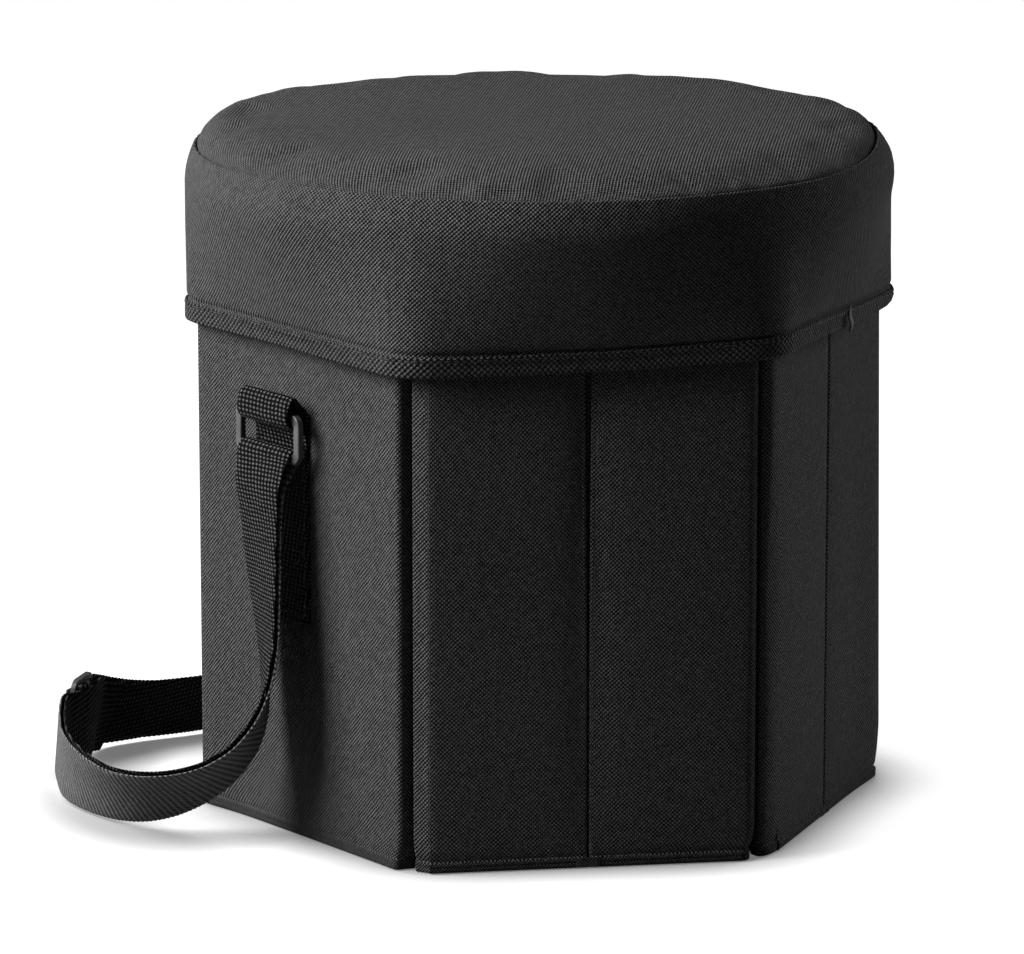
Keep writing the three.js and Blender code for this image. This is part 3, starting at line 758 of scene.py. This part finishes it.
def panel_ring(panel, z, seed):
    """Outline of a padded cover at one height, in (u, w), with the pocket for the board."""
    name, facing, low_kind, high_kind = panel
    low_u, high_u = panel_ends(panel)
    grow = float(np.interp(z, HEM_STEPS, HEM_STANDS))
    tuck = 2.8 * max(0, 1 - max(z - HEM_HEIGHT, 0) / 11) ** 2 if z > HEM_HEIGHT else 2.2
    low = end_profile(low_kind, -1, grow, tuck, fold_gap(z, facing))
    high = end_profile(high_kind, 1, grow, tuck, fold_gap(z, facing))
    depth = BOARD_FACE if POCKET_RIM <= z <= WALL_HEIGHT - POCKET_RIM else INNER
    a, b = low[0][0] + POCKET_RIM, high[0][0] - POCKET_RIM
    inside = [(a, INNER), (a, depth), (b, depth), (b, INNER)]
    first, last = high[-1], low[-1]
    count = max(8, round((high_u - low_u) / 3.7))
    step = last[0] - first[0]
    face = [(first[0] + step * k / count, OUTER + grow) for k in range(1, count)]
    ring = np.array(low[::-1] + inside + high + face)
    u = ring[:, 0]
    lift = np.clip((ring[:, 1] - 7.5) / (OUTER - 7.5), 0, 1)
    ends = ((low_u, low_kind), (high_u, high_kind))
    folds = [end for end, kind in ends if kind == "fold" and facing != FRONT_RIGHT]
    relief = pad_relief(u, z, low_u, high_u, seed, folds)
    if name == "left_wall":
        relief += 2.3 * np.exp(-(((u - low_u) / 20) ** 2))
    if name == "front_right_side":
        full = np.interp(z, [0, 25, 230], [1.2, 2.7, 0])
        relief += full * np.exp(-(((u - high_u) / 22) ** 2))
    ring[:, 1] += relief * lift
    return ring


def build_panel(panel, seed):
    name, facing = panel[:2]
    girth = closed_lengths(panel_ring(panel, 150, seed))
    rings = [panel_ring(panel, z, seed) for z in WALL_LEVELS]
    plans = [on_wall(facing, ring[:, 0], ring[:, 1]) for ring in rings]
    points = np.array([at_height(plan, z) for plan, z in zip(plans, WALL_LEVELS)])
    uv = np.array([at_height(girth, z) for z in WALL_LEVELS])
    faces, loops, row_of = grid_faces(points, uv, True, caps=True)
    hem_rows = WALL_LEVELS.index(HEM_HEIGHT)
    which = [1 if r < hem_rows else 0 for r in row_of]
    looks = [POLYESTER, HEM]
    obj = finish_mesh(name + "_padding", points.reshape(-1, 3), faces, loops, 60, looks, which)
    dress(obj, name, [name + "_cover"])


def build_lining(panel, seed):
    """Foil-faced foam behind the board, pillowed between its quilting seams."""
    name, facing = panel[:2]
    low_u, high_u = panel_ends(panel, 0)
    low_u, high_u = low_u + POCKET_RIM + 0.3, high_u - POCKET_RIM - 0.3
    foot, head, back, seam_pitch = 1.8, 296.2, 4.2, 58.9
    along = np.linspace(low_u, high_u, max(9, round((high_u - low_u) / 5)))
    side = np.minimum(along - low_u, high_u - along)
    rings, uvs = [], []
    for z in (foot, 2.4, *np.linspace(4, 294, 66), 295.6, head):
        soft = np.clip(np.minimum(min(z - foot, head - z), side) / 6, 0, 1) ** 0.5
        seam = np.abs(np.sin(math.pi * (z - foot) / seam_pitch)) ** 0.35
        full = soft * (0.35 + 0.65 * seam) * (1 + 0.12 * ripple(along / 17, z / 15, seed))
        face = 2.0 - 1.45 * np.clip(full, 0, 1)
        ring = np.array([(low_u, back), *zip(along, face), (high_u, back)])
        rings.append(at_height(on_wall(facing, ring[:, 0], ring[:, 1]), z))
        uvs.append(at_height(closed_lengths(ring), z))
    obj = tube(name + "_lining", rings, uvs, FOIL)
    dress(obj, name, [name + "_liner"])


def strip(name, line, levels, thick):
    """Thin fabric web along a vertical line of plan points; thick is the step to its back."""
    line = np.asarray(line, float)
    return prism(name, np.vstack([line, (line + thick)[::-1]]), levels, POLYESTER)


def corner_web(first, second, corner_deg):
    """Web inside a corner fold: it hugs the inner edges of the two panels that meet there."""
    turn = math.radians(corner_deg)
    out = np.array([math.cos(turn), math.sin(turn)])

    def toward(panel, reach):
        middle = on_wall(FACING[panel], 0, WEB_DEPTH)
        along = on_wall(FACING[panel], 1, WEB_DEPTH) - middle
        side = 1 if (CORNER_RADIUS * out - middle) @ along > 0 else -1
        return middle + along * side * (HALF_WALL - reach)

    line = [toward(first, r) for r in (5, 3, 1.2)] + [toward(second, r) for r in (1.2, 3, 5)]
    web = strip("web_" + first + "_to_" + second, line, np.linspace(3, 296, 40), out * 0.25)
    return web, (*line[2] * MM, 0.15), (*line[3] * MM, 0.15)


def build_webs():
    for first, second, degrees in (
        ("left_wall", "front_left_side", 210), ("front_left_centre", "front_right_centre", 270),
        ("front_right_side", "right_wall", 330), ("left_wall", "back_left_side", 150),
        ("back_left_centre", "back_right_centre", 90),
    ):
        web, start, end = corner_web(first, second, degrees)
        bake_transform(web)
    web, _, _ = corner_web("right_wall", "back_right_side", 30)
    dress(web, "right_wall")
    for first, second, way in (
        ("front_left_side", "front_left_centre", 1), ("front_right_centre", "front_right_side", 1),
        ("back_left_side", "back_left_centre", -1), ("back_right_centre", "back_right_side", -1),
    ):
        facing = FACING[first]
        out = unit(on_wall(facing, 0, 0))
        for body, side, depth in ((first, -way, 3.6), (second, way, 4.5)):
            line = [on_wall(facing, u * side, depth) for u in (2.8, 1.6, -0.3)]
            flap = strip("flap_" + body, line, np.linspace(3, 297, 40), out * 0.5)
            dress(flap, body)
        hem = hem_bridge("hem_" + first + "_to_" + second, facing, way)
        start, end = on_wall(facing, -1.4 * way, OUTER), on_wall(facing, 1.4 * way, OUTER)
        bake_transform(hem)


def hem_bridge(name, facing, way):
    """Hem tape that runs on across a middle fold."""
    along = np.array([-6, -5.2, -3.6, -2.2, -1.2, 0, 1.2, 2.2, 3.6, 5.2, 6]) * way
    out = OUTER + 0.9 - 0.25 * np.exp(-((along / 1.8) ** 2))
    out[[0, -1]] -= 0.3
    back = np.full(len(along), OUTER + 0.45)
    ring = np.vstack([on_wall(facing, along, out), on_wall(facing, along[::-1], back)])
    return prism(name, ring, [0.3, 0.8, 2.5, 4.3, HEM_HEIGHT], HEM)


def build_walls():
    for seed, panel in enumerate(PANELS):
        build_panel(panel, 11 + seed)
        build_lining(panel, 40 + seed)
    build_webs()


build_walls()


# Floor


def floor_patch(name, corners, steps, seed):
    """Padded floor patch between four plan corners: foil above, fabric below."""
    nu, nv = steps
    u, v = np.meshgrid(np.linspace(0, 1, nu), np.linspace(0, 1, nv))
    shares = ((1 - u) * (1 - v), u * (1 - v), u * v, (1 - u) * v)
    plan = sum(np.array(c, float) * share[..., None] for c, share in zip(corners, shares))
    rim = np.minimum(np.minimum(u, 1 - u) * nu, np.minimum(v, 1 - v) * nv)
    full = np.clip(rim / 1.5, 0, 1) ** 0.5
    top = 4.6 + 2.6 * full + 0.25 * ripple(plan[..., 0] / 14, plan[..., 1] / 14, seed) * full
    under = np.full_like(top, 0.15)
    return quilt(name, np.dstack([plan, top]), np.dstack([plan, under]), plan, [FOIL, POLYESTER])


def build_floor():
    half = HALF_WALL - 0.4
    reach = HINGE_APOTHEM - 0.3
    corners = [(-reach, -half), (reach, -half), (reach, half), (-reach, half)]
    centre = floor_patch("floor_centre", corners, (53, 31), 71)
    dress(centre, "left_wall", ["floor_pad", "floor_fabric"])
    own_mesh(centre)
    inner = -(HALF_WALL + 0.2)
    tip = -(CORNER_RADIUS - 0.8)
    mid = (-HINGE_APOTHEM / 2 + 0.3, -(CORNER_RADIUS + HALF_WALL) / 2 + 0.5)
    foot = (mid[0] + (inner - mid[1]) * math.tan(math.pi / 6), inner)
    patches = {
        "side": [(-reach + 0.8, inner), mid, foot, ((-reach + foot[0]) / 2, inner)],
        "centre": [mid, (-0.2, tip), (-0.2, inner), foot],
    }
    for wall in ("front_left", "front_right", "back_left", "back_right"):
        flip_x, flip_y = (1 if "left" in wall else -1), (1 if "front" in wall else -1)
        for half_name, patch in patches.items():
            body = wall + "_" + half_name
            corners = [(x * flip_x, y * flip_y) for x, y in patch]
            piece = floor_patch("floor_by_" + body, corners, (17, 13), 80 + len(body))
            dress(piece, body, ["floor_pad"])
            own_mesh(piece)


build_floor()


# Lid


def rounded_hexagon(angle, apothem, corner):
    third = math.pi / 3
    off = abs(angle - third * round(angle / third))
    if apothem * math.tan(off) <= (apothem - corner) * math.tan(third / 2):
        return apothem / math.cos(off)
    centre = (apothem - corner) / math.cos(third / 2)
    away = third / 2 - off
    return centre * math.cos(away) + math.sqrt(corner**2 - (centre * math.sin(away)) ** 2)


def bump_at(angle, middle, width):
    """1 at the middle and 0 from the width on, both in degrees; the angle is in radians."""
    off, reach = angle - math.radians(middle), math.radians(width)
    turn = np.arctan2(np.sin(off), np.cos(off))
    return np.where(np.abs(turn) < reach, np.cos(turn / reach * math.pi / 2) ** 2, 0.0)


def seam_inset(angle):
    """Where the skirt rolls in over the edge of the seat, at the right."""
    return 5.0 * bump_at(angle, 321, 42)


def hem_wave(angle):
    """How far the skirt's edge hangs off level round the lid."""
    dips = -1.4 * bump_at(angle, 210, 40) - 2.6 * bump_at(angle, 332, 34)
    return dips + 3.2 * bump_at(angle, 276, 36)


def over_shoulder(height):
    return max(0, (height - SHOULDER_HEIGHT) / (SEAM_HEIGHT - SHOULDER_HEIGHT))


def skirt_radius(angle, height):
    rise = min(1, max(0, (height - SKIRT_FOOT) / (SHOULDER_HEIGHT - SKIRT_FOOT)))
    low = rounded_hexagon(angle, HEM_APOTHEM, HEM_CORNER)
    over = over_shoulder(height)
    slack = 2.4 * float(bump_at(angle, 321, 50)) * rise * (1 - over)
    mid = low + (SHOULDER_RADIUS - low) * rise - slack
    return mid - (SHOULDER_RADIUS - SEAM_RADIUS) * over**2 - seam_inset(angle) * over**3


def around(name, section, material):
    """Closed band round the lid; section gives (radius, height) pairs for an angle."""
    rings, uvs = [], []
    for k in range(LID_STEPS + 1):
        angle = TAU * k / LID_STEPS
        outline = np.array(section(angle))
        girth = closed_lengths(outline)
        uvs.append(np.column_stack([np.full(len(girth), angle * LID_UV_RADIUS), girth]))
        if k < LID_STEPS:
            rings.append([(r * math.cos(angle), r * math.sin(angle), z) for r, z in outline])
    return tube(name, rings, uvs, material, closed=True, sharp=60)

def hem_drop(angle, z):
    return hem_wave(angle) * max(0, 1 - max(0, z - SKIRT_FOOT) / 45)


def shoulder_lift(angle, z):
    """The rolled edge at the right stands higher than the seam."""
    return 4.4 * float(bump_at(angle, 324, 46)) * over_shoulder(z)


def skirt_section(angle):
    outside = []
    for z in SKIRT_LEVELS:
        share = min(1, max(0, (z - SKIRT_FOOT) / (SEAM_HEIGHT - SKIRT_FOOT)))
        free = math.sin(math.pi * share) ** 0.6
        slack = 0.7 * float(ripple(np.array(angle * 5.0), np.array(z / 24), 301)) * free
        wave = math.sin(angle * 84 + 2 * math.sin(angle * 5))
        pucker = 0.22 * wave * math.exp(-(SEAM_HEIGHT - z) / 5)
        crease = -1.3 * math.exp(-(((z - TAPE_TOP - 0.9) / 1.1) ** 2))
        height = z + hem_drop(angle, z) + shoulder_lift(angle, z)
        outside.append((skirt_radius(angle, z) + slack + pucker + crease, height))
    r, z = outside[-1]
    lip = ((-0.35, 0.75), (-1.0, 0.95), (-1.6, 0.5), (-2.2, -0.8), (-5.0, -2.2))
    outside += [(r + dr, z + dz) for dr, dz in lip]
    inner_levels = SKIRT_LEVELS[-2::-2]
    return outside + [(skirt_radius(angle, z) - 2.5, z + hem_drop(angle, z)) for z in inner_levels]


def binding_section(angle):
    """Tape folded over the hem: it covers the skirt's lower edge and turns in under it."""
    out = skirt_radius(angle, SKIRT_FOOT) + 0.9 + 0.12 * math.sin(angle * 96)
    lean = skirt_radius(angle, TAPE_TOP) - skirt_radius(angle, SKIRT_FOOT)
    inn = out - 3.9
    drop = hem_drop(angle, SKIRT_FOOT)
    curl = 3.0 * float(bump_at(angle, 330, 28))
    top, foot, turn = TAPE_TOP + drop, TAPE_FOOT + drop, SKIRT_FOOT - 0.2 + drop
    section = [
        (out - 1.0, foot), (out - 0.35, foot + 0.3), (out, foot + 1.0), (out + 0.08, foot + 3.2),
        (out + 0.05, foot + 6.2), (out - 0.02 + lean * 0.8, top - 2.4),
        (out - 0.42 + lean, top - 1.7), (out - 0.42 + lean, top - 1.3),
        (out + 0.1 + lean, top - 0.7), (out - 0.25 + lean, top), (out - 1.1 + lean, top - 0.1),
        (out - 1.1, turn), (inn + 0.5, turn), (inn, turn - 1), (inn, foot + 1), (inn + 0.7, foot),
    ]
    return [(r - curl * max(0, (turn + 1 - z) / (turn - foot)) ** 2, z) for r, z in section]


def dashes(count, gap=0.14):
    """Starts and ends of evenly spaced stitches, as shares of a run."""
    return [((k + gap) / count, (k + 1 - gap) / count) for k in range(count)]


def stitch_mesh(name, pairs, radius, material):
    """Raised thread: a tapered stitch per pair of end points, standing half out of the cloth."""
    verts, faces = [], []
    sides = 6
    turns = [TAU * k / sides for k in range(sides)]
    stops = [(0, 0.25), (0.16, 0.8), (0.5, 1), (0.84, 0.8), (1, 0.25)]
    for start, end in pairs:
        start, end = np.array(start, float), np.array(end, float)
        along = unit(end - start)
        side = unit(np.cross(along, (0, 0, 1) if abs(along[2]) < 0.9 else (1, 0, 0)))
        other = np.cross(along, side)
        first = len(verts)
        for s, r in stops:
            at = start + (end - start) * s
            verts += [at + (side * math.cos(a) + other * math.sin(a)) * radius * r for a in turns]
        last = len(verts) - sides
        for base in range(first, last, sides):
            for k in range(sides):
                a, b = base + k, base + (k + 1) % sides
                faces.append([a, b, b + sides, a + sides])
        faces += [[base + k for k in range(sides)] for base in (first, last)]
    return finish_mesh(name, np.array(verts), faces, None, 70, [material])


def lid_stitches():
    height = TAPE_TOP - 1.5
    pairs = []
    for dash in dashes(300, 0.16):
        ends = []
        for angle in (TAU * share for share in dash):
            r = skirt_radius(angle, height) + 0.75
            z = height + hem_drop(angle, SKIRT_FOOT)
            ends.append((r * math.cos(angle), r * math.sin(angle), z))
        pairs.append(ends)
    return stitch_mesh("lid_binding_stitches", pairs, 0.42, THREAD)

def disc_plan(count):
    """Square grid mapped onto the unit disc, so that cells stay even."""
    a, b = np.meshgrid(np.linspace(-1, 1, count), np.linspace(-1, 1, count))
    return a * np.sqrt(1 - b * b / 2), b * np.sqrt(1 - a * a / 2)


def read_points(obj):
    return np.array([v.co for v in obj.data.vertices])


def write_points(obj, points):
    obj.data.vertices.foreach_set("co", points.astype(np.float32).ravel())
    obj.data.update()


def inflate(obj, pins, pressure, cap):
    """Cloth under pressure with the seam held; the result stays on the mesh."""
    group = obj.vertex_groups.new(name="seam")
    group.add([int(i) for i in pins], 1.0, "REPLACE")
    rest = read_points(obj)
    cloth = obj.modifiers.new("Cloth", "CLOTH")
    settings = dict(
        quality=6, mass=0.25, tension_stiffness=18, compression_stiffness=18, shear_stiffness=6,
        bending_stiffness=0.8, air_damping=2, use_pressure=True, uniform_pressure_force=pressure,
        shrink_min=-0.012, vertex_group_mass="seam",
    )
    for key, value in settings.items():
        setattr(cloth.settings, key, value)
    cloth.settings.effector_weights.gravity = 0
    cloth.collision_settings.use_collision = False
    scene = bpy.context.scene
    cloth.point_cache.frame_start, cloth.point_cache.frame_end = 1, 22
    for f in range(1, 21):
        scene.frame_set(f)
    shaped = obj.evaluated_get(bpy.context.evaluated_depsgraph_get()).to_mesh()
    moved = np.array([v.co for v in shaped.vertices])
    obj.modifiers.remove(cloth)
    scene.frame_set(1)
    delta = moved - rest
    size = np.linalg.norm(delta, axis=1, keepdims=True)
    delta *= np.minimum(1, cap / np.maximum(size, 1e-9))
    write_points(obj, rest + delta)


def subdivide(obj, levels):
    smooth = obj.modifiers.new("Subdivision", "SUBSURF")
    smooth.levels = smooth.render_levels = levels


def build_cushion():
    """Round padded seat: cloth blows up the crown, then the slack of the sewn edge is added."""
    count = 77
    total = count * count
    px, py = disc_plan(count)
    rho, turn = np.hypot(px, py), np.arctan2(py, px)
    profile = np.array(CUSHION)
    knots = lengths_along(profile)
    shares = knots / knots[-1]
    radius = np.interp(rho, shares, profile[:, 0])
    height = np.interp(rho, shares, profile[:, 1])
    height = height - np.interp(rho, shares, SAT_FLAT) * bump_at(turn, 238, 100)
    top = np.dstack([radius * np.cos(turn), radius * np.sin(turn), height])
    rim_radius, rim_height = profile[-1] - 0.4
    low = np.dstack([px * rim_radius, py * rim_radius, np.full_like(height, rim_height)])
    obj = quilt("seat_cushion", top, low, np.dstack([px, py]) * knots[-1], [POLYESTER], 75)
    inflate(obj, rim_indices(count, count) + list(range(total, 2 * total)), 4.0, 0.0012)
    shape_seat_edge(obj, total)
    subdivide(obj, 1)
    dress(obj, "lid", ["seat_cover", "seat_foam"])


def shape_seat_edge(obj, total):
    """Fuller edge at the left, drawn in at the right, puckered seam and slack at the back right."""
    co = read_points(obj) / MM
    r = np.hypot(co[:, 0], co[:, 1])
    angle = np.arctan2(co[:, 1], co[:, 0])
    face = np.arange(len(co)) < total
    rim = CUSHION[-1][0]
    pucker = 0.12 * np.sin(angle * 58 + 3 * np.sin(angle * 3)) + 0.12 * np.sin(angle * 23 + 1.3)
    share = np.exp(-(rim - r) / 14) * np.clip((rim - r) / 3, 0, 1)
    full = 3.6 * bump_at(angle, 124, 66) + 1.6 * bump_at(angle, 340, 50)
    full = full * np.exp(-(((r - 150) / 10) ** 2))
    slack = bump_at(angle, 20, 40) * np.exp(-(((r - 128) / 22) ** 2))
    fold = 0.6 * np.sin((co[:, 0] * 0.35 + co[:, 1] * 0.94) / 42 * TAU + 1.0)
    co[:, 2] += (pucker * share + full + fold * slack) * face
    inset = seam_inset(angle) * np.clip((r - 138) / (rim - 138), 0, 1) ** 3
    co[:, :2] *= (1 - inset / np.maximum(r, 1))[:, None]
    write_points(obj, co * MM)


def build_lid_lining():
    """Foil lining under the seat board, quilted in squares."""
    radius, quilting = 155.8, 62
    px, py = disc_plan(61)
    x, y = px * radius, py * radius
    seams = np.minimum(*(np.abs(np.sin(math.pi * d / quilting)) for d in (x + y, x - y)))
    rim = np.clip((1 - np.hypot(px, py)) * 12, 0, 1)
    low = 300.2 - 1.6 * (seams**0.4) * rim**0.5 + 0.12 * ripple(x / 9, y / 9, 91) * rim
    under = np.dstack([x, y, np.maximum(low, 298.45)])
    top = np.dstack([x, y, np.full_like(x, 301.3)])
    obj = quilt("lid_foil_lining", under, top, np.dstack([x, y]), [FOIL])
    dress(obj, "lid", ["lid_lining"])


def build_tape_end():
    """Turned end of the binding tape, lying on the hem near the right front corner."""
    angle = math.radians(301.7)
    out = np.array([math.cos(angle), math.sin(angle), 0])
    side = np.array([-math.sin(angle), math.cos(angle), 0])
    height = TAPE_TOP + float(hem_wave(angle))
    base = out * (skirt_radius(angle, SKIRT_FOOT) + 1.5) + np.array([0, 0, height])
    route = [
        (3.2, 0.0, 0.8, 1.2), (0.8, 0.7, -1.4, 2.2), (-1.2, 1.2, -3.8, 2.0),
        (1.4, 1.6, -6.4, 2.4), (0.6, 1.8, -8.8, 1.9), (-2.6, 1.4, -10.6, 1.0),
    ]
    turns = np.arange(11) / 10 * TAU
    rings, uvs = [], []
    for s, o, z, width in route:
        at = base + side * s + out * o + np.array([0, 0, z])
        wide, thick = side * width, out * 0.6
        rings.append([at + wide * math.cos(a) + thick * math.sin(a) for a in turns[:-1]])
        uvs.append([(width * math.cos(a), z) for a in turns])
    # The turned tape end takes the near-black thread colour, darker than the tape itself: painted
    # shade.
    obj = tube("binding_tape_end", rings, uvs, LOOSE_END)
    subdivide(obj, 2)
    dress(obj, "lid")


def build_lid():
    skirt = around("lid_skirt_fabric", skirt_section, POLYESTER)
    dress(skirt, "lid", ["lid_skirt"])
    tape = around("lid_binding_tape", binding_section, TAPE)
    dress(tape, "lid", ["lid_binding"])
    dress(lid_stitches(), "lid")
    build_cushion()
    build_lid_lining()
    build_tape_end()


build_lid()


# Strap anchors


def anchor_point(side, out, along, z):
    return np.array([SIGN[side] * out, -SIGN[side] * (ANCHOR_Y + along), z])


def build_tab(side):
    """Sewn patch whose webbing turns over the ring's upper bar and back in under itself."""
    face = HINGE_APOTHEM + OUTER + 0.3 + WEB_THICK / 2
    out, top = RING_PIVOT
    turn_radius = 4.35
    route = [(face, z) for z in (102, 112, 130, 150, 168, 182, 193)] + [(face + 0.7, 200)]
    for degrees in (128, 104, 80, 56, 30, 4, -24, -52, -80, -106):
        a = math.radians(degrees)
        lift = 5.0 * max(0, math.sin(a)) ** 1.4
        route.append((out + turn_radius * math.cos(a), top + turn_radius * math.sin(a) + lift))
    route += [(face + 2.6, 191), (face + 1.75, 185.8), (face + 1.7, 178.8)]
    across = across_tab(side)
    points = [anchor_point(side, w, 0, z) for w, z in route]
    row = []
    for i, p in enumerate(points):
        along = unit(points[min(i + 1, len(points) - 1)] - points[max(i - 1, 0)])
        row.append((p, across, np.cross(across, along)))
    obj, _, _ = ribbon(side + "_tab_webbing", row)
    dress(obj, side + "_wall", [side + "_strap_tab"])
    edge, foot, bar, head = 16.2, 105.0, 135.0, 177.0
    seams = [
        ((-edge, foot), (edge, foot)), ((-edge, head), (edge, head)),
        ((-edge, foot), (-edge, head)), ((edge, foot), (edge, head)),
        ((-edge, foot), (edge, bar)), ((edge, foot), (-edge, bar)), ((-edge, bar), (edge, bar)),
    ]
    pairs = []
    for a, b in np.array(seams):
        for dash in dashes(max(1, round(np.linalg.norm(b - a) / STITCH_PITCH))):
            ends = [a + (b - a) * share for share in dash]
            pairs.append([anchor_point(side, face + WEB_THICK / 2 + 0.02, *end) for end in ends])
    stitches = stitch_mesh(side + "_tab_stitches", pairs, 0.36, THREAD)
    dress(stitches, side + "_wall")


def hem_stitches():
    """Stitch line along the hem of each panel."""
    for panel in PANELS:
        name, facing = panel[:2]
        low, high = panel_ends(panel)
        low, high = low + 1.2, high - 1.2
        pairs = []
        for dash in dashes(max(4, round((high - low) / STITCH_PITCH))):
            us = [low + (high - low) * share for share in dash]
            pairs.append([(*on_wall(facing, u, OUTER + 0.62), 3.55) for u in us])
        dress(stitch_mesh(name + "_hem_stitches", pairs, 0.26, LOOSE_END), name)


for side in ("left", "right"):
    build_tab(side)
hem_stitches()

for node, obj in NODES.items():
    if node.endswith("ring") or node == "strap_slider":
        look = PLASTIC
    elif node.endswith("board"):
        look = BOARD
    else:
        continue
    obj.data.materials.clear()
    obj.data.materials.append(look)


# Stage and light


def build_stage():
    n = Nodes("studio_floor")
    path = n.add("ShaderNodeLightPath")
    seen = n.math("MAXIMUM", path.outputs["Is Camera Ray"], path.outputs["Is Glossy Ray"])
    seen = n.math("MAXIMUM", seen, path.outputs["Is Transmission Ray"])
    tone = n.remap(n.noise(n.place(), 3.0), 0.3, 0.7, 0.0, 0.02)
    level = n.math("ADD", n.remap(seen, 0.0, 1.0, 0.12, 0.30), tone)
    colour = n.add("ShaderNodeCombineColor")
    for socket in colour.inputs:
        n.put(level, socket)
    n.set(Base_Color=colour.outputs[0], Roughness=0.9, Specular_IOR_Level=0.0)
    n.put((1, 1, 1, 1), n.bsdf.inputs["Emission Color"])
    # The floor glows white in the open; ambient occlusion dims the glow near the object, a painted
    # contact shadow round its base.
    open_sky = n.add("ShaderNodeAmbientOcclusion", samples=16)
    open_sky.inputs["Distance"].default_value = 0.038
    painted_shadow_glow = n.remap(open_sky.outputs["AO"], 0.5, 0.97, 0.17, 0.96)
    n.put(n.math("MULTIPLY", seen, painted_shadow_glow), n.bsdf.inputs["Emission Strength"])
    mesh = bpy.data.meshes.new("studio_floor")
    reach, level = 14.0, -0.0004
    corners = ((-1, -1), (1, -1), (1, 1), (-1, 1))
    mesh.from_pydata([(x * reach, y * reach, level) for x, y in corners], [], [(0, 1, 2, 3)])
    mesh.materials.append(n.material)
    add_object("studio_floor", mesh)


def area_light(name, place, aim, size, power, size_y=None):
    data = bpy.data.lights.new(name, "AREA")
    data.energy = power
    data.size = size
    if size_y:
        data.shape = "RECTANGLE"
        data.size_y = size_y
    aimed_object(name, data, place, aim)


def build_light():
    world = bpy.data.worlds.new("studio")
    bpy.context.scene.world = world
    world.use_nodes = True
    tree = world.node_tree
    background = tree.nodes["Background"]
    path = tree.nodes.new("ShaderNodeLightPath")
    seen = tree.nodes.new("ShaderNodeMath")
    seen.operation = "MAXIMUM"
    tree.links.new(path.outputs["Is Camera Ray"], seen.inputs[0])
    tree.links.new(path.outputs["Is Transmission Ray"], seen.inputs[1])
    level = tree.nodes.new("ShaderNodeMapRange")
    level.inputs["To Min"].default_value = 0.035
    level.inputs["To Max"].default_value = 1.0
    tree.links.new(seen.outputs[0], level.inputs["Value"])
    background.inputs["Color"].default_value = (1, 1, 1, 1)
    tree.links.new(level.outputs[0], background.inputs["Strength"])
    area_light("key_left", (-1.02, 0.44, 0.88), (0, 0, 0.17), 0.75, 34, 0.9)
    area_light("fill_right", (2.1, -0.1, 0.7), (0, 0, 0.17), 0.9, 17, 1.3)
    area_light("top", (-0.6, 1.5, 1.5), (0, 0, 0.3), 0.9, 8)


build_stage()
build_light()
bpy.context.scene.view_settings.view_transform = "Standard"
